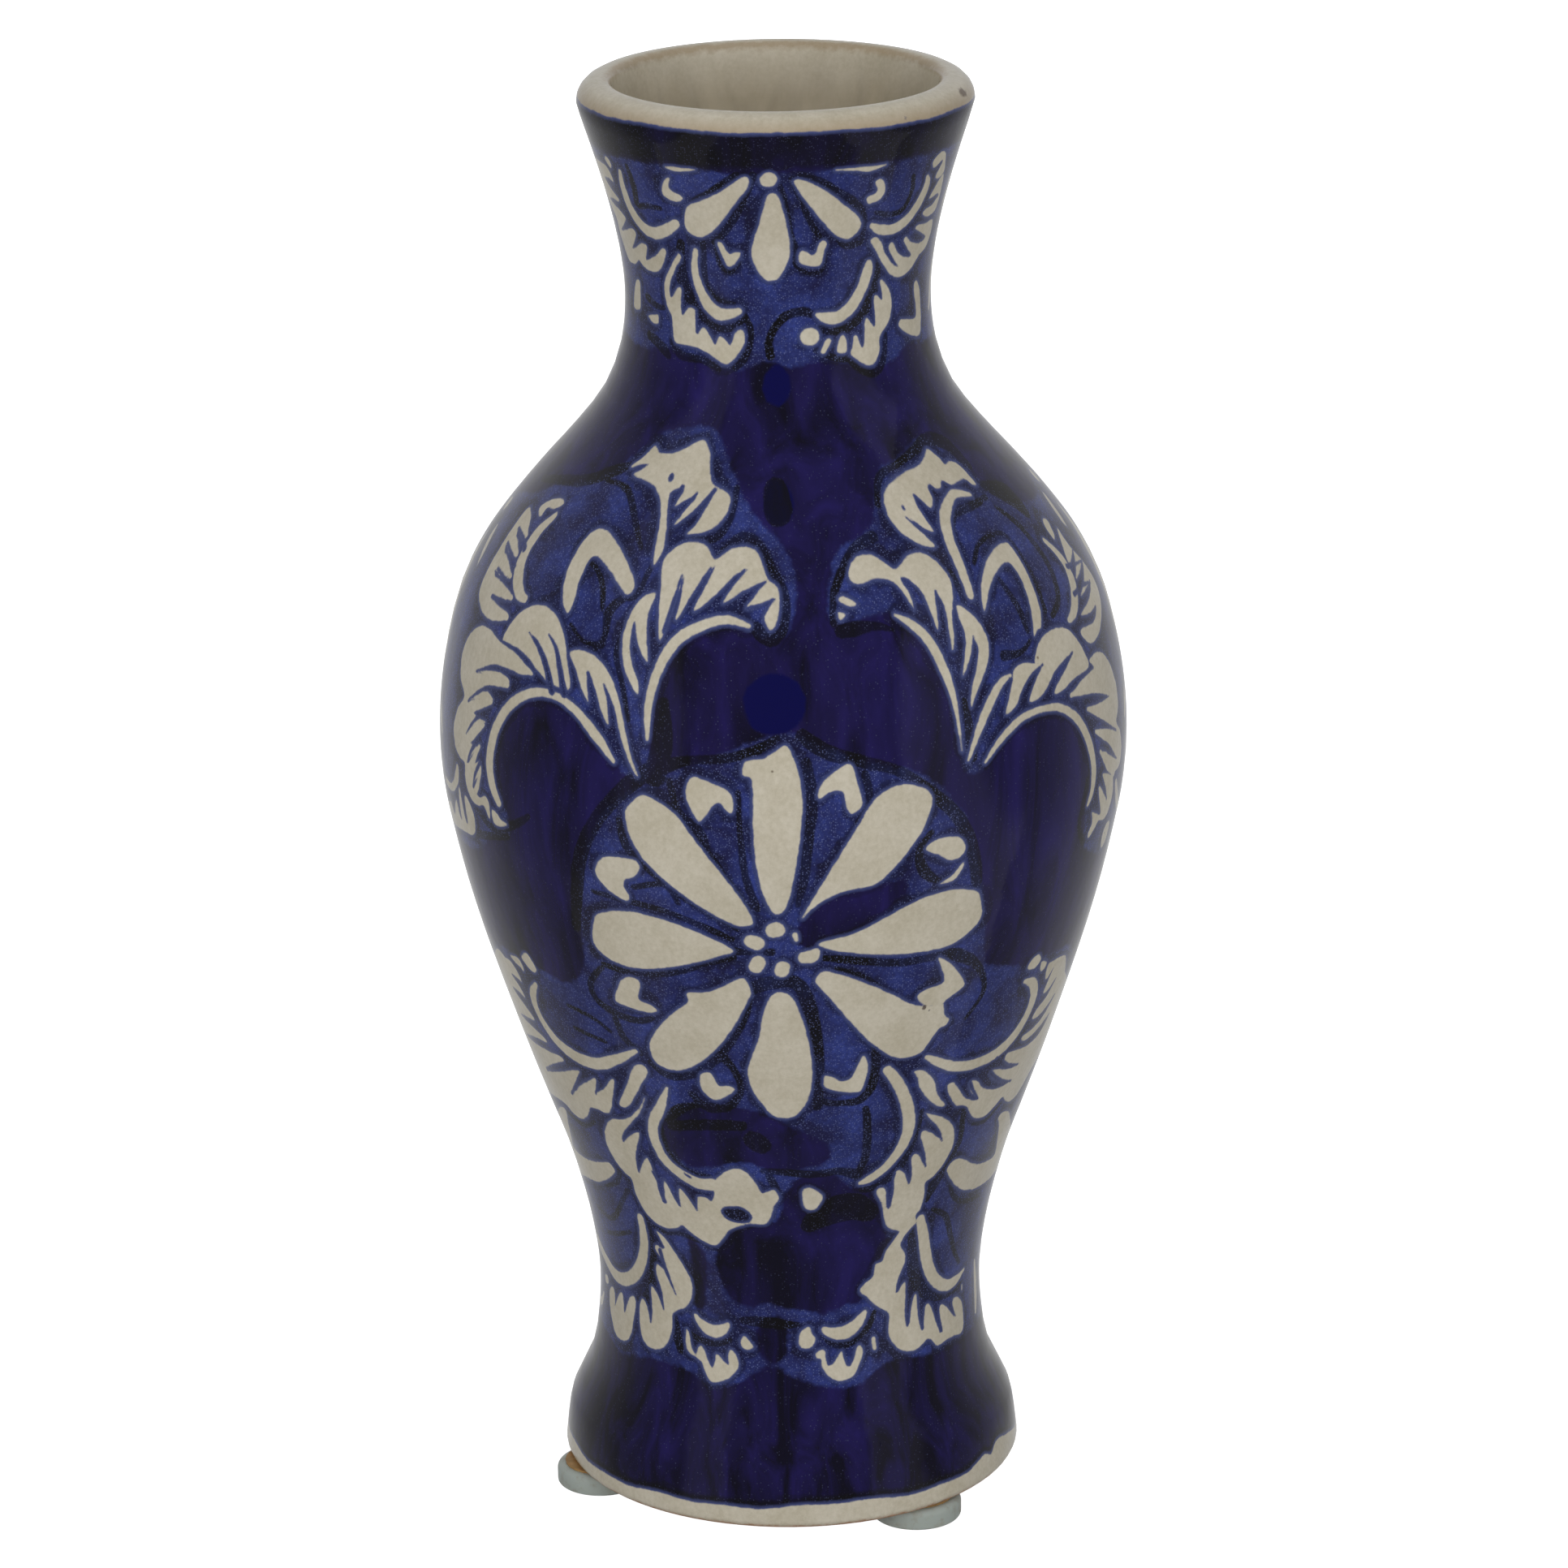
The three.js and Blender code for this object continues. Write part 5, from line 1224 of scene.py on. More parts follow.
# %% [markdown]
# ## Laying the painting on the wall
# Every mark becomes a distance: how many millimetres a spot on the wall is inside or outside
# the nearest white shape, wash or line. The painter's drawing repeats on the back, turned round
# the quarter lines at the two sides, with a little drift because no hand repeats itself
# exactly. Distances are kept at the mesh's points, so the mesh has to be fine where they bend.

# %% Distance to a mark
REACH = 3.0  # distances stop counting here, in mm
NECK_FROM = 155  # mm above the foot
NECK_MM_PER_DEGREE = 0.36
BELLY_MM_PER_DEGREE = 0.47
BATCH = 1500000  # spots times pieces measured in one go
CURVE_STEPS = 5
THINNEST_STROKE = 0.05  # half its width, mm


def across(shape, spots):
    """Which spots are near a shape, with their places relative to each of its pieces, in mm."""
    path = shape["path"]
    on_neck = path[:, 1].mean() > NECK_FROM
    margin = REACH / (NECK_MM_PER_DEGREE if on_neck else BELLY_MM_PER_DEGREE)
    low, high = path.min(0), path.max(0)
    near = (spots[:, 0] > low[0] - margin) & (spots[:, 0] < high[0] + margin)
    near &= (spots[:, 1] > low[1] - REACH) & (spots[:, 1] < high[1] + REACH)
    return np.flatnonzero(near)


def depth(shape, spots, to_mm):
    """How deep spots are inside a shape, in mm, negative outside. Spots are (degrees, mm)."""
    path = shape["path"]
    a = path if shape["closed"] else path[:-1]
    b = np.roll(path, -1, axis=0) if shape["closed"] else path[1:]
    out = np.empty(len(spots))
    batch = max(1, BATCH // len(a))
    for first in range(0, len(spots), batch):
        here = slice(first, first + batch)
        k = to_mm[here, None]
        ax, ay = (a[None, :, 0] - spots[here, None, 0]) * k, a[None, :, 1] - spots[here, None, 1]
        bx, by = (b[None, :, 0] - spots[here, None, 0]) * k, b[None, :, 1] - spots[here, None, 1]
        dx, dy = bx - ax, by - ay
        t = np.clip(-(ax * dx + ay * dy) / np.maximum(dx * dx + dy * dy, 1e-9), 0, 1)
        away = np.hypot(ax + t * dx, ay + t * dy)
        if not shape["closed"]:
            width = a[None, :, 2] + t * (b[None, :, 2] - a[None, :, 2])
            out[here] = (width - away).max(axis=1)
            continue
        crosses = (ay > 0) != (by > 0)
        where = ax - ay * dx / np.where(np.abs(dy) < 1e-9, 1e-9, dy)
        inside = (crosses & (where > 0)).sum(axis=1) % 2 == 1
        out[here] = np.where(inside, 1, -1) * away.min(axis=1)
    return out


def lay(shapes, spots, to_mm, start=None):
    """The greatest depth of any of the shapes at each spot."""
    out = np.full(len(spots), -REACH) if start is None else start
    for shape in shapes:
        near = across(shape, spots)
        if len(near):
            out[near] = np.maximum(out[near], depth(shape, spots[near], to_mm[near]))
    return out


# %% Outlines and strokes as shapes
def outline(points):
    return {"path": smooth_through(points, True, CURVE_STEPS), "closed": True}


def stroke(points):
    path = smooth_through(points, False, CURVE_STEPS)
    path[:, 2] = np.maximum(path[:, 2], THINNEST_STROKE)
    return {"path": path, "closed": False}


white_shapes = [outline(p) for group in WHITE.values() for p in group]
white_shapes += [stroke(p) for group in WHITE_STROKES.values() for p in group]
hole_shapes = [outline(p) for group in HOLES.values() for p in group]
wash_shapes = [outline(p) for group in WASHES.values() for p in group]
dark_shapes = [outline(p) for p in DARK_PATCHES]
line_shapes = [stroke(p) for group in INK_LINES.values() for p in group]
cut_shapes = [stroke(p) for p in CUTS]
painted_reflection_shapes = [outline(p) for p in PAINTED_REFLECTION_SPOTS]
print(len(white_shapes), "white marks,", len(line_shapes), "drawn lines")

# %% Where the drawing repeats
def as_drawn(turn, height):
    """Folds a place anywhere round the vase onto the painter's front drawing."""
    turn = (turn + 180) % 360 - 180
    behind = np.abs(turn) > 90
    folded = np.where(behind, np.sign(turn) * 180 - turn, turn)
    fade = np.clip((90 - np.abs(folded)) / 25, 0, 1) * behind
    drift = 1.3 * np.sin(height / 17 + 1) + 0.8 * np.sin(folded / 13 + height / 29)
    lift = 0.9 * np.sin(folded / 21 + 2) + 0.6 * np.sin(height / 11 + folded / 34)
    return np.stack([folded + fade * drift, height + fade * lift], 1)


def rim_edge(turn):
    """The height where the blue stops below the white lip."""
    t = np.radians(turn)
    return 197.4 + 0.4 * np.cos(t + 0.4) + 0.08 * np.sin(7 * t) + 0.05 * np.sin(17 * t + 2)


def foot_edge(turn):
    """The height where the blue stops above the bare edge of the foot."""
    t = np.radians(turn)
    rise = 2.2 * np.exp(-(((turn - 66) / 11) ** 2)) - 1.2 * np.exp(-(((turn - 61) / 2.2) ** 2))
    return 3.1 + 0.4 * np.sin(3 * t + 1) + 0.2 * np.sin(8 * t) + 0.15 * np.sin(19 * t + 1) + rise


# %% Four depths at every place
def paint_depths(turn, mark):
    """White, wash, line and painted reflection depths in mm at each place: degrees round, mm along
    the line.
    """
    height = height_at(mark) - FOOT_Z
    to_mm = np.radians(1) * np.maximum(radius_at(mark), 5)
    spots = as_drawn(turn, height)
    white = lay(white_shapes, spots, to_mm)
    white = np.minimum(white, -lay(hole_shapes + cut_shapes, spots, to_mm))
    round_turn = (turn + 180) % 360 - 180
    white = np.maximum(white, np.clip(height - rim_edge(round_turn), -REACH, REACH))
    white = np.maximum(white, np.clip(foot_edge(round_turn) - height, -REACH, REACH))
    unpainted = (mark < widest_of_foot - 4) | (mark > top_of_lip)
    white = np.where(unpainted, REACH, white)
    wash = lay(wash_shapes, spots, to_mm)
    wash = np.minimum(wash, -lay(dark_shapes, spots, to_mm))
    line = lay(line_shapes, spots, to_mm)
    # The fourth depth is inside the painted reflection spots.
    painted_reflection = lay(painted_reflection_shapes, spots, to_mm)
    return np.stack([white, wash, line, painted_reflection], 1)


# %% [markdown]
# ## Refining where the brush turned
# A painted edge that runs straight needs few points, and a fingertip or a thin gap needs many.
# So an edge of the mesh is halved only where the distance at its middle isn't what its two
# ends say, close to a painted edge. A triangle's longest edge is always halved with its
# others, which keeps every triangle well shaped, and each new point is put on the true wall.

# %% The mesh as arrays
ALLOWED_ERROR = np.array([0.045, 0.25, 0.12, 0.25])  # mm, at a white, wash, line or painted reflection spot edge
NEAR_PAINT = 1.4  # mm


def triangles_of(mesh):
    mesh.calc_loop_triangles()
    corners_flat = np.empty(len(mesh.loop_triangles) * 3, np.int32)
    mesh.loop_triangles.foreach_get("vertices", corners_flat)
    return corners_flat.reshape(-1, 3)


def points_of(mesh):
    flat = np.empty(len(mesh.vertices) * 3, np.float32)
    mesh.vertices.foreach_get("co", flat)
    return flat.reshape(-1, 3).astype(float) * 1000


def marks_of(mesh):
    flat = np.empty(len(mesh.vertices), np.float32)
    mesh.attributes["along"].data.foreach_get("value", flat)
    return flat.astype(float)


def on_wall(direction, mark):
    """The point on the true wall, in mm, for unit directions from the axis and line marks."""
    r = radius_at(mark)
    return np.stack([direction[:, 0] * r, direction[:, 1] * r, height_at(mark)], 1)


def facing(point):
    """Unit direction from the axis, and degrees round from the front towards +X."""
    size = np.maximum(np.hypot(point[:, 0], point[:, 1]), 1e-9)
    direction = point[:, :2] / size[:, None]
    return direction, np.degrees(np.arctan2(direction[:, 0], -direction[:, 1]))


# %% Halve the edges that need it
def halve(triangles, points, marks_at, depths, shortest, most):
    """One round of refining. Returns the new mesh and how many edges were halved."""
    sides = np.stack([triangles[:, [0, 1]], triangles[:, [1, 2]], triangles[:, [2, 0]]], 1)
    pairs = np.sort(sides.reshape(-1, 2), axis=1)
    code = pairs[:, 0].astype(np.int64) * len(points) + pairs[:, 1]
    kinds, back = np.unique(code, return_inverse=True)
    side_of = back.reshape(-1, 3)
    a, b = kinds // len(points), kinds % len(points)
    length = np.linalg.norm(points[a] - points[b], axis=1)
    closest = np.minimum(np.abs(depths[a]), np.abs(depths[b]))[:, [0, 2]] - length[:, None] / 2
    worth = (length > shortest) & (closest.min(axis=1) < NEAR_PAINT)
    worth &= (marks_at[a] > widest_of_foot - 4) & (marks_at[b] > widest_of_foot - 4)
    worth &= (marks_at[a] < top_of_lip + 0.1) & (marks_at[b] < top_of_lip + 0.1)
    worth &= np.abs(marks_at[a] - marks_at[b]) < 20
    which = np.flatnonzero(worth)
    middle = (points[a] + points[b]) / 2
    direction, turn = facing(middle)
    mark = (marks_at[a] + marks_at[b]) / 2
    at_middle = np.full((len(kinds), 4), np.nan)
    at_middle[which] = paint_depths(turn[which], mark[which])
    error = np.abs(at_middle - (depths[a] + depths[b]) / 2)
    allowed = ALLOWED_ERROR + 0.2 * np.maximum(np.abs(at_middle) - 0.2, 0)
    need = np.zeros(len(kinds))
    need[which] = (error[which] / allowed[which]).max(axis=1)
    split = need > max(1.0, np.sort(need)[-min(most, len(need))])
    longest = side_of[np.arange(len(triangles)), length[side_of].argmax(axis=1)]
    while True:
        touched = split[side_of].any(axis=1) & ~split[longest]
        if not touched.any():
            break
        split[longest[touched]] = True
    chosen = np.flatnonzero(split)
    if not len(chosen):
        return triangles, points, marks_at, depths, 0
    missing = chosen[np.isnan(at_middle[chosen, 0])]
    at_middle[missing] = paint_depths(turn[missing], mark[missing])
    new_number = np.full(len(kinds), -1)
    new_number[chosen] = len(points) + np.arange(len(chosen))
    points = np.vstack([points, on_wall(direction[chosen], mark[chosen])])
    marks_at = np.concatenate([marks_at, mark[chosen]])
    depths = np.vstack([depths, at_middle[chosen]])
    longest_at = length[side_of].argmax(axis=1)
    rows = np.arange(len(triangles))
    turned_by = [longest_at, (longest_at + 1) % 3, (longest_at + 2) % 3]
    p, q, r = (triangles[rows, k] for k in turned_by)
    pq, qr, rp = (new_number[side_of[rows, k]] for k in turned_by)
    has = [pq >= 0, qr >= 0, rp >= 0]
    whole = ~has[0]
    one = has[0] & ~has[1] & ~has[2]
    right_two = has[0] & has[1] & ~has[2]
    left_two = has[0] & ~has[1] & has[2]
    three = has[0] & has[1] & has[2]
    made = [triangles[whole]]
    for choice, corners_out in (
        (one, [(p, pq, r), (pq, q, r)]),
        (right_two, [(p, pq, r), (pq, q, qr), (pq, qr, r)]),
        (left_two, [(p, pq, rp), (pq, r, rp), (pq, q, r)]),
        (three, [(p, pq, rp), (pq, q, qr), (pq, qr, r), (pq, r, rp)]),
    ):
        made += [np.stack([x[choice] for x in three_corners], 1) for three_corners in corners_out]
    return np.vstack(made), points, marks_at, depths, len(chosen)


# %% Refine the mesh
SHORTEST_EDGES = [1.2, 0.9, 0.7, 0.55, 0.42, 0.34, 0.28, 0.22, 0.18]
TRIANGLE_LIMIT = 192000
TRIANGLES_PER_SPLIT = 4.5
FEWEST_SPLITS = 200
triangles, points, marks_at = triangles_of(thrown), points_of(thrown), marks_of(thrown)
depths = paint_depths(facing(points)[1], marks_at)
for shortest in SHORTEST_EDGES:
    most = int((TRIANGLE_LIMIT - len(triangles)) / TRIANGLES_PER_SPLIT)
    if most < FEWEST_SPLITS:
        break
    refined = halve(triangles, points, marks_at, depths, shortest, most)
    triangles, points, marks_at, depths, count = refined
    print("edges over", shortest, "mm:", count, "halved,", len(triangles), "triangles")

# %% [markdown]
# ## The finished body
# The points become a mesh again, each with its four paint depths and its place along the
# wall's line, so that the glaze knows the lip and the foot from the rest. The wheel left the
# wall true to a hair, but a real one breathes a little, so the radius drifts by a tenth of a
# millimetre, always inwards, and the doubles are merged before the faces are turned outwards.

# %% Build the body
MOST_DRIFT = 0.115  # mm, so that the drift only goes inwards
direction, turn = facing(points)
round_and_up = np.radians(turn)
drift = 0.05 * np.sin(2 * round_and_up + 0.4) + 0.03 * np.sin(3 * round_and_up + points[:, 2] / 23)
drift += 0.02 * np.sin(points[:, 2] / 4.1) + 0.015 * np.sin(5 * round_and_up - points[:, 2] / 9)
drift = (drift - MOST_DRIFT) * np.clip(np.hypot(points[:, 0], points[:, 1]) / 20 - 0.2, 0, 1)
points[:, :2] += direction * drift[:, None]
# The lip isn't quite level: it was trimmed by hand, and dips by a millimetre at the front.
LIP_DIP, DIP_STARTS, DIP_FULL, LIP_REACH = 1.0, 190, 202, 27
up_neck = np.clip((points[:, 2] - DIP_STARTS) / (DIP_FULL - DIP_STARTS), 0, 1)
dip = up_neck**2 * (3 - 2 * up_neck)
points[:, 2] -= LIP_DIP * dip * (1 - points[:, 1] / LIP_REACH) / 2

body_mesh = bpy.data.meshes.new("painted_vase")
body_mesh.from_pydata((points * MM).tolist(), [], triangles.tolist())
# The fourth column holds the painted reflection spots.
for column, name in enumerate(("white_mm", "wash_mm", "ink_mm", "drop_mm")):
    values = depths[:, column].astype(np.float32)
    body_mesh.attributes.new(name, "FLOAT", "POINT").data.foreach_set("value", values)
body_mesh.attributes.new("along_mm", "FLOAT", "POINT").data.foreach_set(
    "value", marks_at.astype(np.float32)
)
turned_out = bmesh.new()
turned_out.from_mesh(body_mesh)
bmesh.ops.remove_doubles(turned_out, verts=turned_out.verts, dist=0.001 * MM)
bmesh.ops.recalc_face_normals(turned_out, faces=turned_out.faces)
open_edges = sum(not edge.is_manifold for edge in turned_out.edges)
turned_out.to_mesh(body_mesh)
turned_out.free()
body_mesh.shade_smooth()
body_mesh.materials.append(glaze)
vase = bpy.data.objects.new("painted_vase", body_mesh)
bpy.context.scene.collection.objects.link(vase)
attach(vase, "root")
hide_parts("vase_body")
print("body:", len(body_mesh.polygons), "triangles, open edges:", open_edges)

# %% [markdown]
# ## The glaze
# The ware is earthenware under a tin-white glaze, painted in cobalt: a thin granular wash,
# full-strength cobalt that fires to a deep violet navy, and lines so thick that they fire
# nearly black. Over it all lies one clear, glassy coat. To the eye that gives grainy mid blue,
# brushed navy, dark seams with a faint pale fringe where the colour bled, and a sharp gloss.

# %% Places and patterns
# How wide each pattern's features are, in mm.
WANDER, GRAIN, MOTTLE, POOL, STROKE = 1.5, 0.26, 0.6, 6.0, 5.0
PORE_APART, MILK, RIPPLE = 6.5, 0.7, 3.0
glaze.use_nodes = True
tree = glaze.node_tree
shell = tree.nodes["Principled BSDF"]
place_on_vase = add(tree, "ShaderNodeTexCoord")
in_mm = add(
    tree,
    "ShaderNodeVectorMath",
    {0: place_on_vase.outputs["Object"], 3: 1000.0},
    operation="SCALE",
)
mm_parts = add(tree, "ShaderNodeSeparateXYZ", {0: in_mm.outputs[0]})
white_depth = add(tree, "ShaderNodeAttribute", attribute_name="white_mm")
wash_depth = add(tree, "ShaderNodeAttribute", attribute_name="wash_mm")
ink_depth = add(tree, "ShaderNodeAttribute", attribute_name="ink_mm")
# The depth inside the painted reflection spots.
painted_reflection_depth = add(tree, "ShaderNodeAttribute", attribute_name="drop_mm")
along_line = add(tree, "ShaderNodeAttribute", attribute_name="along_mm")

# The brush's edge wanders by up to a tenth of a millimetre.
brush_wander = add(
    tree,
    "ShaderNodeTexNoise",
    {"Vector": in_mm.outputs[0], "Scale": 1 / WANDER, "Detail": 4.0, "Roughness": 0.65},
)
wander = add(
    tree,
    "ShaderNodeMapRange",
    {
        "Value": brush_wander.outputs[0],
        "From Min": 0.3,
        "From Max": 0.7,
        "To Min": -0.08,
        "To Max": 0.08,
    },
)
# Undissolved cobalt and tin show as pale grains a quarter of a millimetre across.
grains = add(
    tree,
    "ShaderNodeTexVoronoi",
    {"Vector": in_mm.outputs[0], "Scale": 1 / GRAIN, "Randomness": 1.0},
)
grain_kind = add(tree, "ShaderNodeSeparateColor", {0: grains.outputs["Color"]})
mottle = add(
    tree,
    "ShaderNodeTexNoise",
    {"Vector": in_mm.outputs[0], "Scale": 1 / MOTTLE, "Detail": 2.0, "Roughness": 0.7},
)
# Wet colour pools and drags: blotches six millimetres wide, and strokes drawn out upright.
pools = add(
    tree,
    "ShaderNodeTexNoise",
    {"Vector": in_mm.outputs[0], "Scale": 1 / POOL, "Detail": 4.0, "Roughness": 0.6},
)
drag = add(tree, "ShaderNodeMapping", {"Vector": in_mm.outputs[0], "Scale": (1.0, 1.0, 0.22)})
strokes = add(
    tree,
    "ShaderNodeTexNoise",
    {
        "Vector": drag.outputs[0],
        "Scale": 1 / STROKE,
        "Detail": 4.0,
        "Roughness": 0.55,
        "Distortion": 0.8,
    },
)
print("patterns from", GRAIN, "to", PORE_APART, "mm")

# %% Masks
edge = add(
    tree,
    "ShaderNodeMath",
    {0: white_depth.outputs["Fac"], 1: wander.outputs[0]},
    operation="ADD",
)
is_white = add(
    tree,
    "ShaderNodeMapRange",
    {"Value": edge.outputs[0], "From Min": -0.10, "From Max": 0.16},
    interpolation_type="SMOOTHSTEP",
)
fringe = add(
    tree,
    "ShaderNodeMapRange",
    {"Value": edge.outputs[0], "From Min": -0.6, "From Max": -0.05},
)
# The painter went round the white in patches, so the dark seam is anything up to 1.8 mm wide.
seam_reach = add(
    tree,
    "ShaderNodeMapRange",
    {
        "Value": pools.outputs[0],
        "From Min": 0.36,
        "From Max": 0.62,
        "To Min": -1.8,
        "To Max": -0.45,
    },
)
seam_fade = add(
    tree,
    "ShaderNodeMath",
    {0: edge.outputs[0], 1: seam_reach.outputs[0]},
    operation="SUBTRACT",
)
in_seam = add(
    tree,
    "ShaderNodeMapRange",
    {"Value": seam_fade.outputs[0], "From Min": -0.3, "From Max": 0.3, "To Max": 0.55},
    interpolation_type="SMOOTHSTEP",
)
line_edge = add(
    tree,
    "ShaderNodeMath",
    {0: ink_depth.outputs["Fac"], 1: wander.outputs[0]},
    operation="ADD",
)
in_line = add(
    tree,
    "ShaderNodeMapRange",
    {"Value": line_edge.outputs[0], "From Min": -0.22, "From Max": 0.12},
    interpolation_type="SMOOTHSTEP",
)
print("masks for white, fringe, seam and line")

# %% Rings and washes
# A full ring of the darkest cobalt closes the painting under the lip and above the foot.
by_lip = add(
    tree,
    "ShaderNodeMapRange",
    {"Value": mm_parts.outputs["Z"], "From Min": 194.2, "From Max": 195.6},
)
by_foot = add(
    tree,
    "ShaderNodeMapRange",
    {"Value": mm_parts.outputs["Z"], "From Min": 12.5, "From Max": 10.5},
)
by_either = add(
    tree,
    "ShaderNodeMath",
    {0: by_lip.outputs[0], 1: by_foot.outputs[0]},
    operation="MAXIMUM",
)
ring_reach = add(
    tree,
    "ShaderNodeMapRange",
    {"Value": by_lip.outputs[0], "To Min": -1.1, "To Max": -9.0},
)
ring_fade = add(
    tree,
    "ShaderNodeMath",
    {0: edge.outputs[0], 1: ring_reach.outputs[0]},
    operation="SUBTRACT",
)
ring = add(
    tree,
    "ShaderNodeMapRange",
    {
        "Value": ring_fade.outputs[0],
        "From Min": -0.5,
        "From Max": 0.3,
        "To Max": by_either.outputs[0],
    },
    interpolation_type="SMOOTHSTEP",
)
drawn = add(
    tree,
    "ShaderNodeMath",
    {0: in_seam.outputs[0], 1: in_line.outputs[0]},
    operation="MAXIMUM",
)
darkest = add(
    tree,
    "ShaderNodeMath",
    {0: drawn.outputs[0], 1: ring.outputs[0]},
    operation="MAXIMUM",
)
thickness = add(
    tree,
    "ShaderNodeMapRange",
    {
        "Value": strokes.outputs[0],
        "From Min": 0.35,
        "From Max": 0.65,
        "To Min": 1.0,
        "To Max": 0.68,
    },
)
is_dark = add(
    tree,
    "ShaderNodeMath",
    {0: darkest.outputs[0], 1: thickness.outputs[0]},
    operation="MULTIPLY",
)
wash_wander = add(
    tree,
    "ShaderNodeMath",
    {0: wander.outputs[0], 1: 3.0, 2: wash_depth.outputs["Fac"]},
    operation="MULTIPLY_ADD",
)
is_wash = add(
    tree,
    "ShaderNodeMapRange",
    {"Value": wash_wander.outputs[0], "From Min": -0.35, "From Max": 0.45},
    interpolation_type="SMOOTHSTEP",
)
print("masks for the rings and the washes")

# %% Colours of the cobalt
# Painted shade: the brush strokes turn darker towards the foot, from 60 mm down to 12 mm.
painted_foot_shade = add(
    tree,
    "ShaderNodeMapRange",
    {
        "Value": mm_parts.outputs["Z"],
        "From Min": 60.0,
        "From Max": 12.0,
        "To Min": 0.3,
        "To Max": 0.42,
    },
)
brush_strokes_and_foot_shade = add(
    tree,
    "ShaderNodeMapRange",
    {"Value": strokes.outputs[0], "From Min": painted_foot_shade.outputs[0], "From Max": 0.74},
)
navy = add(
    tree,
    "ShaderNodeMix",
    {0: brush_strokes_and_foot_shade.outputs[0], 6: linear("#09051E"), 7: linear("#241B60")},
    data_type="RGBA",
)
wash_tone = add(
    tree,
    "ShaderNodeMapRange",
    {"Value": pools.outputs[0], "From Min": 0.35, "From Max": 0.68},
)
wash_blue = add(
    tree,
    "ShaderNodeMix",
    {0: wash_tone.outputs[0], 6: linear("#20204F"), 7: linear("#394794")},
    data_type="RGBA",
)
mottling = add(
    tree,
    "ShaderNodeMapRange",
    {"Value": mottle.outputs[0], "From Min": 0.35, "From Max": 0.7, "To Max": 0.4},
)
mottled_wash = add(
    tree,
    "ShaderNodeMix",
    {0: mottling.outputs[0], 6: wash_blue.outputs[2], 7: linear("#131130")},
    data_type="RGBA",
)
cobalt = add(
    tree,
    "ShaderNodeMix",
    {0: is_wash.outputs[0], 6: navy.outputs[2], 7: mottled_wash.outputs[2]},
    data_type="RGBA",
)
# Painted reflections: the three round spots at the front turn saturated blue.
in_painted_reflection = add(
    tree,
    "ShaderNodeMapRange",
    {"Value": painted_reflection_depth.outputs["Fac"], "From Min": -0.2, "From Max": 0.35},
    interpolation_type="SMOOTHSTEP",
)
with_painted_reflection = add(
    tree,
    "ShaderNodeMix",
    {0: in_painted_reflection.outputs[0], 6: cobalt.outputs[2], 7: linear("#01014A")},
    data_type="RGBA",
)
inked = add(
    tree,
    "ShaderNodeMix",
    {0: is_dark.outputs[0], 6: with_painted_reflection.outputs[2], 7: linear("#0A080F")},
    data_type="RGBA",
)
print("cobalt from black seam to pale wash")

# %% Grains in the cobalt
# They crowd where the colour is thin or lies over a line, and are few in the flooded navy.
on_line = add(tree, "ShaderNodeMath", {0: is_dark.outputs[0], 1: 0.55}, operation="MULTIPLY")
grainy = add(
    tree,
    "ShaderNodeMath",
    {0: is_wash.outputs[0], 1: on_line.outputs[0]},
    operation="MAXIMUM",
)
grain_share = add(
    tree,
    "ShaderNodeMapRange",
    {"Value": grainy.outputs[0], "To Min": 0.88, "To Max": 0.2},
)
grain_light = add(
    tree,
    "ShaderNodeMapRange",
    {"Value": grain_kind.outputs[0], "From Min": grain_share.outputs[0], "From Max": 1.0},
)
grain_dot = add(
    tree,
    "ShaderNodeMapRange",
    {
        "Value": grains.outputs["Distance"],
        "From Min": 0.12,
        "From Max": 0.5,
        "To Min": 0.7,
        "To Max": 0.0,
    },
    interpolation_type="SMOOTHSTEP",
)
# No grains show in the painted reflection spots.
clear_of_painted_reflection = add(tree, "ShaderNodeMath", {0: 1.0, 1: in_painted_reflection.outputs[0]}, operation="SUBTRACT")
grain_lit = add(
    tree,
    "ShaderNodeMath",
    {0: grain_dot.outputs[0], 1: grain_light.outputs[0]},
    operation="MULTIPLY",
)
grain_seen = add(
    tree,
    "ShaderNodeMath",
    {0: grain_lit.outputs[0], 1: clear_of_painted_reflection.outputs[0]},
    operation="MULTIPLY",
)
grain_colour = add(
    tree,
    "ShaderNodeMix",
    {0: is_wash.outputs[0], 6: linear("#4C5070"), 7: linear("#7682BA")},
    data_type="RGBA",
)
grained = add(
    tree,
    "ShaderNodeMix",
    {0: grain_seen.outputs[0], 6: inked.outputs[2], 7: grain_colour.outputs[2]},
    data_type="RGBA",
)
fringed = add(
    tree,
    "ShaderNodeMix",
    {0: fringe.outputs[0], 6: grained.outputs[2], 7: linear("#4A5488")},
    data_type="RGBA",
)
print("a grain every", GRAIN, "mm")

# %% White glaze
pores = add(
    tree,
    "ShaderNodeTexVoronoi",
    {"Vector": in_mm.outputs[0], "Scale": 1 / PORE_APART, "Randomness": 1.0},
)
pore_kind = add(tree, "ShaderNodeSeparateColor", {0: pores.outputs["Color"]})
pore_size = add(
    tree,
    "ShaderNodeMapRange",
    {"Value": pore_kind.outputs[0], "From Min": 0.45, "To Max": 0.055},
)
pore_edge = add(
    tree,
    "ShaderNodeMath",
    {0: pore_size.outputs[0], 1: pores.outputs["Distance"]},
    operation="SUBTRACT",
)
pore = add(
    tree,
    "ShaderNodeMapRange",
    {"Value": pore_edge.outputs[0], "From Min": -0.008, "From Max": 0.012, "To Max": 0.7},
)
milk = add(
    tree,
    "ShaderNodeTexNoise",
    {"Vector": in_mm.outputs[0], "Scale": 1 / MILK, "Detail": 3.0, "Roughness": 0.7},
)
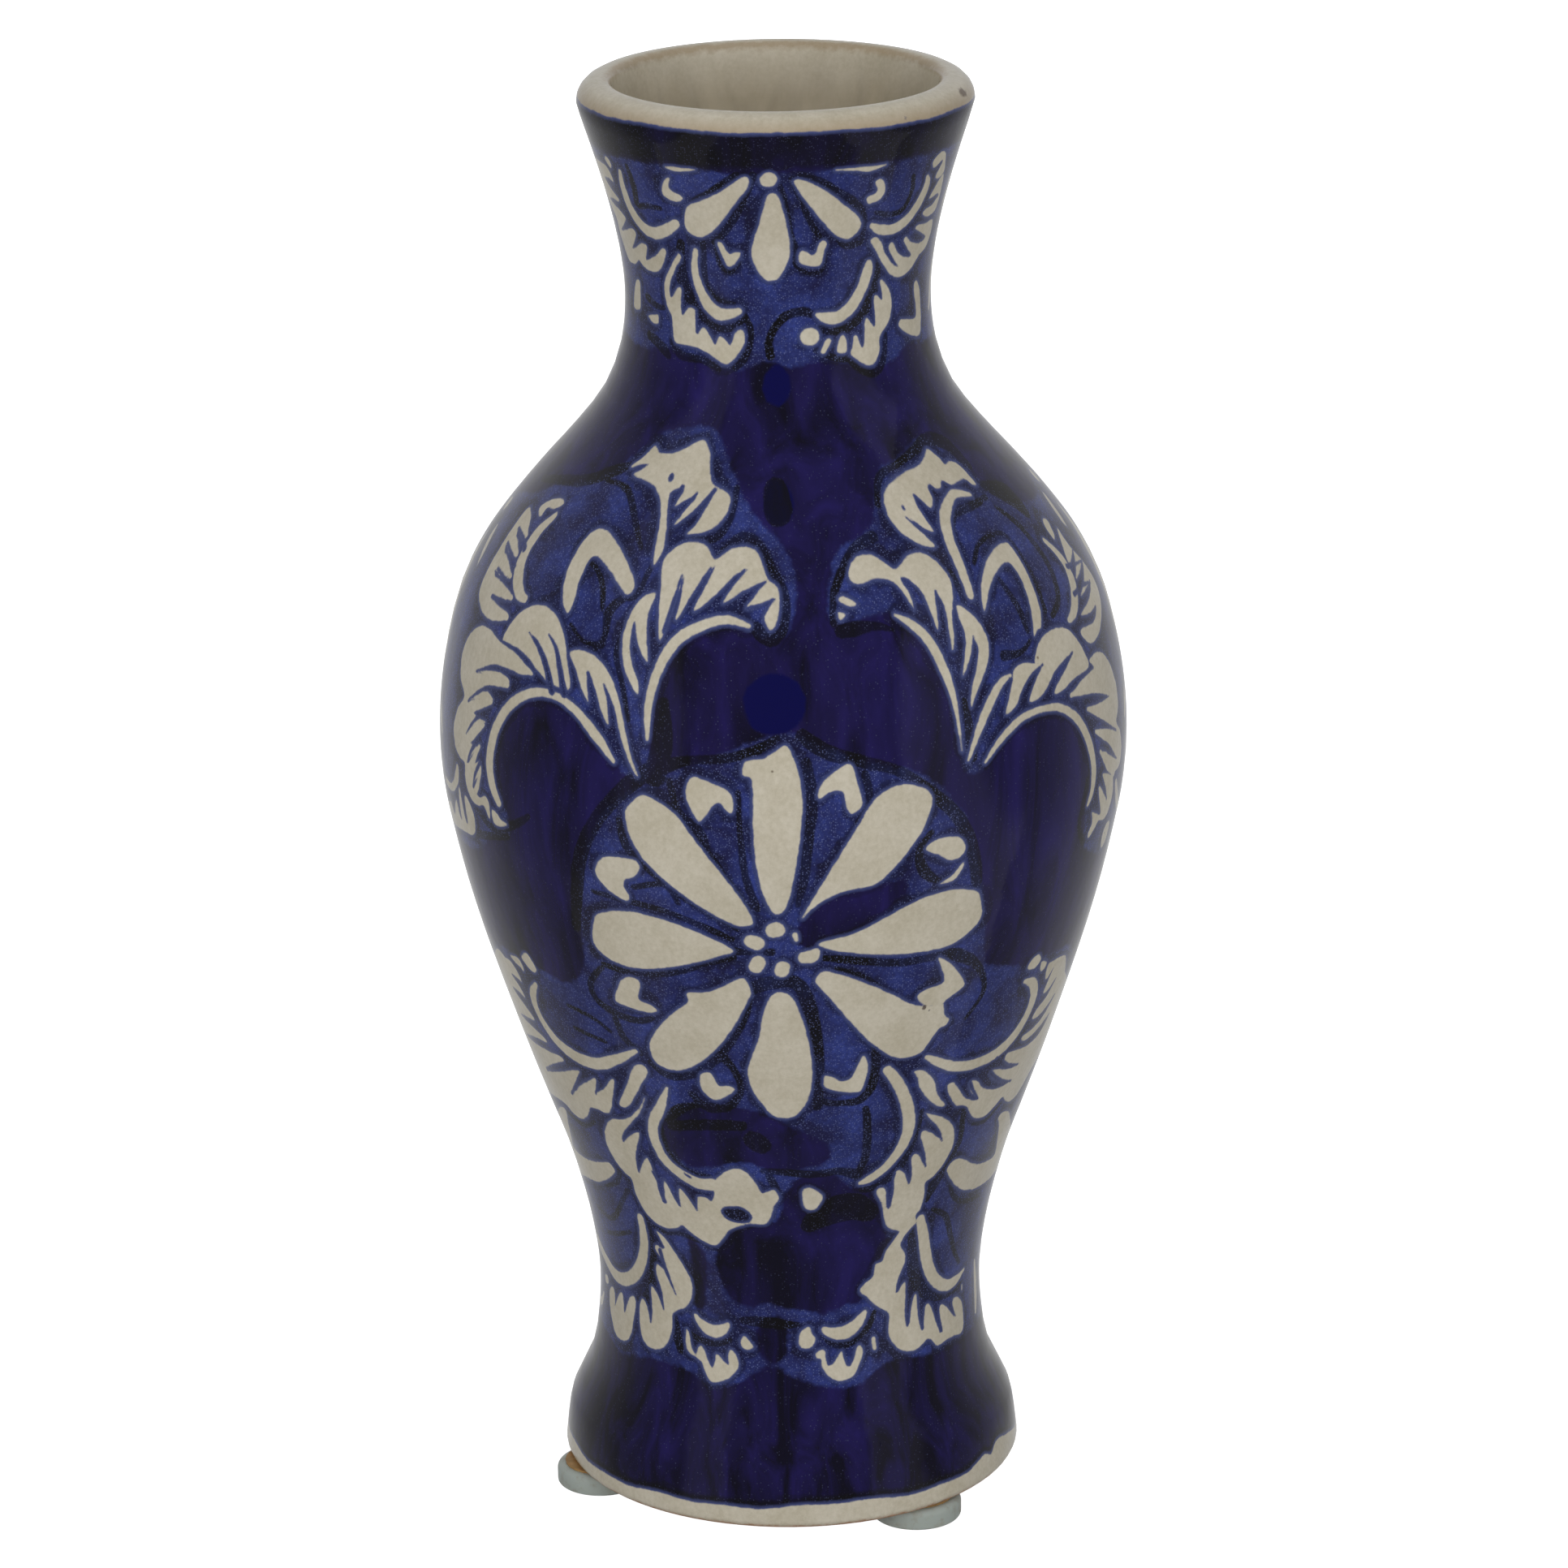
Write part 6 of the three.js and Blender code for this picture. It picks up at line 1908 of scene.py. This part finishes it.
milk_tone = add(tree, "ShaderNodeMath", {0: milk.outputs[0], 1: pools.outputs[0]}, operation="ADD")
milk_mix = add(
    tree,
    "ShaderNodeMapRange",
    {"Value": milk_tone.outputs[0], "From Min": 0.75, "From Max": 1.25},
)
cream = add(
    tree,
    "ShaderNodeMix",
    {0: milk_mix.outputs[0], 6: linear("#CDC4AE"), 7: linear("#E0D8C6")},
    data_type="RGBA",
)
pored = add(
    tree,
    "ShaderNodeMix",
    {0: pore.outputs[0], 6: cream.outputs[2], 7: linear("#5A4A38")},
    data_type="RGBA",
)
print("white glaze with pores every", PORE_APART, "mm")

# %% Inside and thin edges
# Inside, a few millimetres past the lip, the glaze colour turns darker and greyer.
past_lip = add(
    tree,
    "ShaderNodeMapRange",
    {
        "Value": along_line.outputs["Fac"],
        "From Min": top_of_lip + 1.5,
        "From Max": top_of_lip + 9.0,
        "To Max": 0.85,
    },
)
inside_grey = add(
    tree,
    "ShaderNodeMix",
    {0: brush_strokes_and_foot_shade.outputs[0], 6: linear("#A29680"), 7: linear("#BEB299")},
    data_type="RGBA",
)
inside_tone = add(
    tree,
    "ShaderNodeMix",
    {0: past_lip.outputs[0], 6: pored.outputs[2], 7: inside_grey.outputs[2]},
    data_type="RGBA",
)
# It runs thin over the lip's two corners, where the clay below shows through as tan.
from_lip = add(
    tree,
    "ShaderNodeMath",
    {0: along_line.outputs["Fac"], 1: -top_of_lip},
    operation="ADD",
)
ragged = add(
    tree,
    "ShaderNodeMath",
    {0: brush_wander.outputs[0], 1: 1.6, 2: from_lip.outputs[0]},
    operation="MULTIPLY_ADD",
)
inner_corner = add(tree, "ShaderNodeMath", {0: ragged.outputs[0], 1: -2.3}, operation="ADD")
inner_away = add(tree, "ShaderNodeMath", {0: inner_corner.outputs[0]}, operation="ABSOLUTE")
inner_thin = add(
    tree,
    "ShaderNodeMapRange",
    {
        "Value": inner_away.outputs[0],
        "From Min": 0.25,
        "From Max": 1.1,
        "To Min": 0.6,
        "To Max": 0.0,
    },
)
outer_face = add(
    tree,
    "ShaderNodeMapRange",
    {"Value": from_lip.outputs[0], "From Min": -1.6, "From Max": -3.8, "To Max": 0.6},
)
outer_thin = add(
    tree,
    "ShaderNodeMath",
    {0: outer_face.outputs[0], 1: by_lip.outputs[0]},
    operation="MULTIPLY",
)
thin = add(
    tree,
    "ShaderNodeMath",
    {0: inner_thin.outputs[0], 1: outer_thin.outputs[0]},
    operation="MAXIMUM",
)
edged = add(
    tree,
    "ShaderNodeMix",
    {0: thin.outputs[0], 6: inside_tone.outputs[2], 7: linear("#A58C6A")},
    data_type="RGBA",
)
painted = add(
    tree,
    "ShaderNodeMix",
    {0: is_white.outputs[0], 6: fringed.outputs[2], 7: edged.outputs[2]},
    data_type="RGBA",
)
print("white from pooled to thin")

# %% Marks of use and of the kiln
# Places in mm: a chip that shows brown clay, a touch of blue on the lip, two rust specks.
MARKS = [
    ((25.6, -7.9, 201.6), (1.5, 1.5, 0.8), "#5B422C"),
    ((17.3, -20.7, 200.9), (0.5, 0.5, 0.6), "#39406E"),
    ((18.6, -38.2, 82.5), (0.45, 0.45, 0.5), "#4A3A3C"),
    ((19.3, -37.6, 81.9), (0.3, 0.3, 0.35), "#3F3A48"),
    ((33.9, -29.7, 129.1), (0.4, 0.4, 0.4), "#6A4A30"),
]
marked = painted
for centre, size, colour in MARKS:
    off = add(tree, "ShaderNodeVectorMath", {0: in_mm.outputs[0], 1: centre}, operation="SUBTRACT")
    scaled = add(tree, "ShaderNodeVectorMath", {0: off.outputs[0], 1: size}, operation="DIVIDE")
    reach = add(tree, "ShaderNodeVectorMath", {0: scaled.outputs[0]}, operation="LENGTH")
    rough_reach = add(
        tree,
        "ShaderNodeMath",
        {0: milk.outputs[0], 1: 0.9, 2: reach.outputs["Value"]},
        operation="MULTIPLY_ADD",
    )
    spot = add(
        tree,
        "ShaderNodeMapRange",
        {
            "Value": rough_reach.outputs[0],
            "From Min": 1.1,
            "From Max": 1.5,
            "To Min": 0.85,
            "To Max": 0.0,
        },
    )
    marked = add(
        tree,
        "ShaderNodeMix",
        {0: spot.outputs[0], 6: marked.outputs[2], 7: linear(colour)},
        data_type="RGBA",
    )
print(len(MARKS), "marks")

# %% Bare clay under the foot
bare_edge = add(
    tree,
    "ShaderNodeMath",
    {0: brush_wander.outputs[0], 1: 1.4, 2: along_line.outputs["Fac"]},
    operation="MULTIPLY_ADD",
)
is_bare = add(
    tree,
    "ShaderNodeMapRange",
    {
        "Value": bare_edge.outputs[0],
        "From Min": widest_of_foot + 0.35,
        "From Max": widest_of_foot - 0.15,
    },
)
clay = add(
    tree,
    "ShaderNodeMix",
    {0: milk.outputs[0], 6: linear("#9E7458"), 7: linear("#CFA98A")},
    data_type="RGBA",
)
standing = add(
    tree,
    "ShaderNodeMix",
    {0: is_bare.outputs[0], 6: marked.outputs[2], 7: clay.outputs[2]},
    data_type="RGBA",
)
tree.links.new(standing.outputs[2], shell.inputs["Base Color"])
print("bare clay below", round(float(widest_of_foot), 1), "mm along the line")

# %% Gloss and relief
polish = add(
    tree,
    "ShaderNodeMapRange",
    {"Value": pools.outputs[0], "From Min": 0.3, "From Max": 0.7, "To Min": 0.04, "To Max": 0.1},
)
dull = add(
    tree, "ShaderNodeMix", {0: is_bare.outputs[0], 2: polish.outputs[0], 3: 0.8}, data_type="FLOAT"
)
tree.links.new(dull.outputs[0], shell.inputs["Roughness"])
shell.inputs["IOR"].default_value = 1.5
# The coat lies in soft ripples three millimetres long, and dips at each pore.
skin = add(
    tree,
    "ShaderNodeTexNoise",
    {"Vector": in_mm.outputs[0], "Scale": 1 / RIPPLE, "Detail": 2.0},
)
pitted = add(
    tree,
    "ShaderNodeMath",
    {0: pore.outputs[0], 1: -0.6, 2: skin.outputs[0]},
    operation="MULTIPLY_ADD",
)
relief = add(
    tree,
    "ShaderNodeBump",
    {"Height": pitted.outputs[0], "Strength": 0.3, "Distance": 0.1 * MM},
)
tree.links.new(relief.outputs[0], shell.inputs["Normal"])
print("glaze:", len(tree.nodes), "nodes")


# %% [markdown]
# ## Rubber pads
# Each pad is a half-inch disc of soft clear silicone, moulded with a rounded upper edge and
# sold on a sheet, the kind that stops a pot from scratching a shelf. The three are alike, so one
# tree turns a single pad and sets it at each place. It is milky rather than clear, because fine
# filler scatters the light, and dust sticks to it.

# %% Pad places and finish
FULL_TURN = 6.283
PAD_NODES = ["foot_pad_1", "foot_pad_2", "foot_pad_3"]
pad_boxes = [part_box(name) for name in PAD_NODES]
pad_places = [((low + high) / 2 * 1000).to_tuple() for low, high in pad_boxes]
pad_low, pad_high = pad_boxes[0]
pad_radius = (pad_high.x - pad_low.x) * 500
pad_thick = (pad_high.z - pad_low.z) * 1000
silicone = bpy.data.materials.new("milky_silicone_moulded")
print("pads", round(2 * pad_radius, 2), "mm across and", round(pad_thick, 2), "mm thick")

# %% The pad's section
def pad_line():
    """The pad's section, from the middle of its underside round to the middle of its top."""
    low_edge, high_edge = 0.55, 0.95  # how round its edges are, mm
    line = [(0, 0), (pad_radius * 0.5, 0)]
    for step in range(9):
        a = math.radians(-90 + 90 * step / 8)
        turned_in = pad_radius - low_edge + low_edge * math.cos(a)
        line.append((turned_in, low_edge + low_edge * math.sin(a)))
    for step in range(11):
        a = math.radians(90 * step / 10)
        turned_in = pad_radius - high_edge + high_edge * math.cos(a)
        line.append((turned_in, pad_thick - high_edge + high_edge * math.sin(a)))
    return line + [(pad_radius * 0.5, pad_thick - 0.02), (0, pad_thick - 0.05)]


# %% The tree that sets the pads
def pad_setter():
    tree = bpy.data.node_groups.new("pad_setter", "GeometryNodeTree")
    socket = tree.interface.new_socket
    socket("Places", in_out="INPUT", socket_type="NodeSocketGeometry")
    socket("Pad", in_out="INPUT", socket_type="NodeSocketObject")
    socket("Seed", in_out="INPUT", socket_type="NodeSocketInt")
    socket("Finish", in_out="INPUT", socket_type="NodeSocketMaterial")
    socket("Pads", in_out="OUTPUT", socket_type="NodeSocketGeometry")
    given = add(tree, "NodeGroupInput")
    one_pad = add(tree, "GeometryNodeObjectInfo", {0: given.outputs["Pad"]})
    spin = add(
        tree,
        "FunctionNodeRandomValue",
        {"Min": (0, 0, 0), "Max": (0, 0, FULL_TURN), "Seed": given.outputs["Seed"]},
        data_type="FLOAT_VECTOR",
    )
    spread = add(
        tree,
        "GeometryNodeInstanceOnPoints",
        {
            0: given.outputs["Places"],
            "Instance": one_pad.outputs["Geometry"],
            "Rotation": spin.outputs[0],
        },
    )
    real = add(tree, "GeometryNodeRealizeInstances", {0: spread.outputs[0]})
    done = add(
        tree,
        "GeometryNodeSetMaterial",
        {0: real.outputs[0], "Material": given.outputs["Finish"]},
    )
    add(tree, "NodeGroupOutput", {0: done.outputs[0]})
    return tree


# %% Set the pads
pad_section = pad_line()
section_mesh = bpy.data.meshes.new("pad_section")
section_edges = [(k, k + 1) for k in range(len(pad_section) - 1)]
section_mesh.from_pydata([(r * MM, 0, z * MM) for r, z in pad_section], section_edges, [])
section_mesh.attributes.new("along", "FLOAT", "POINT")
one_mesh = fired("one_pad", wheel, section_mesh, Sides=64, Glaze=silicone)
one_pad = bpy.data.objects.new("one_pad", one_mesh)
bpy.context.scene.collection.objects.link(one_pad)
places_mesh = bpy.data.meshes.new("pad_places")
places_mesh.from_pydata([(x * MM, y * MM, 0) for x, y, z in pad_places], [], [])
pads_mesh = fired("silicone_pads", pad_setter(), places_mesh, Pad=one_pad, Seed=4, Finish=silicone)
bpy.data.objects.remove(one_pad)
shaped = bmesh.new()
shaped.from_mesh(pads_mesh)
bmesh.ops.remove_doubles(shaped, verts=shaped.verts, dist=0.001 * MM)
bmesh.ops.recalc_face_normals(shaped, faces=shaped.faces)
shaped.to_mesh(pads_mesh)
shaped.free()
pads_mesh.shade_smooth()
pads = bpy.data.objects.new("silicone_pads", pads_mesh)
bpy.context.scene.collection.objects.link(pads)
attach(pads, "root")
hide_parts(*PAD_NODES)
print("pads:", len(pads_mesh.polygons), "faces")

# %% Silicone
silicone.use_nodes = True
tree = silicone.node_tree
rubber = tree.nodes["Principled BSDF"]
where = add(tree, "ShaderNodeTexCoord")
in_mm = add(
    tree,
    "ShaderNodeVectorMath",
    {0: where.outputs["Object"], 3: 1000.0},
    operation="SCALE",
)
dust = add(
    tree,
    "ShaderNodeTexNoise",
    {"Vector": in_mm.outputs[0], "Scale": 1 / 1.6, "Detail": 5.0, "Roughness": 0.65},
)
dusty = add(
    tree,
    "ShaderNodeMapRange",
    {"Value": dust.outputs[0], "From Min": 0.5, "From Max": 0.75},
)
milky = add(
    tree,
    "ShaderNodeMix",
    {0: dusty.outputs[0], 6: linear("#C9D2CC"), 7: linear("#B4B3A4")},
    data_type="RGBA",
)
tree.links.new(milky.outputs[2], rubber.inputs["Base Color"])
matt = add(
    tree,
    "ShaderNodeMapRange",
    {"Value": dust.outputs[0], "From Min": 0.3, "From Max": 0.7, "To Min": 0.28, "To Max": 0.5},
)
tree.links.new(matt.outputs[0], rubber.inputs["Roughness"])
rubber.inputs["IOR"].default_value = 1.41
rubber.inputs["Subsurface Weight"].default_value = 0.6
rubber.inputs["Subsurface Radius"].default_value = (1.0, 1.0, 0.9)
rubber.inputs["Subsurface Scale"].default_value = 1.5 * MM
rubber.inputs["Transmission Weight"].default_value = 0.25
print("silicone:", len(tree.nodes), "nodes")

# %% [markdown]
# ## Adhesive
# The film under each pad is an acrylic adhesive a third of a millimetre thick. It has yellowed
# to a thin amber line where it shows between the pad and the clay. The CAD discs have the
# right shape, so they stay and take this finish.

# %% Adhesive
acrylic = bpy.data.materials.new("yellowed_acrylic_adhesive")
acrylic.use_nodes = True
tree = acrylic.node_tree
film = tree.nodes["Principled BSDF"]
where = add(tree, "ShaderNodeTexCoord")
in_mm = add(
    tree,
    "ShaderNodeVectorMath",
    {0: where.outputs["Object"], 3: 1000.0},
    operation="SCALE",
)
dirt = add(
    tree,
    "ShaderNodeTexNoise",
    {"Vector": in_mm.outputs[0], "Scale": 1 / 1.1, "Detail": 4.0},
)
amber = add(
    tree,
    "ShaderNodeMix",
    {0: dirt.outputs[0], 6: linear("#8A6236"), 7: linear("#D0AA72")},
    data_type="RGBA",
)
tree.links.new(amber.outputs[2], film.inputs["Base Color"])
film.inputs["Roughness"].default_value = 0.45
film.inputs["Subsurface Weight"].default_value = 0.3
film.inputs["Subsurface Scale"].default_value = 0.5 * MM
for name in ("adhesive_disc_1", "adhesive_disc_2", "adhesive_disc_3"):
    disc = frame["nodes"][name]
    disc.data.materials.clear()
    disc.data.materials.append(acrylic)
print("adhesive on 3 discs")
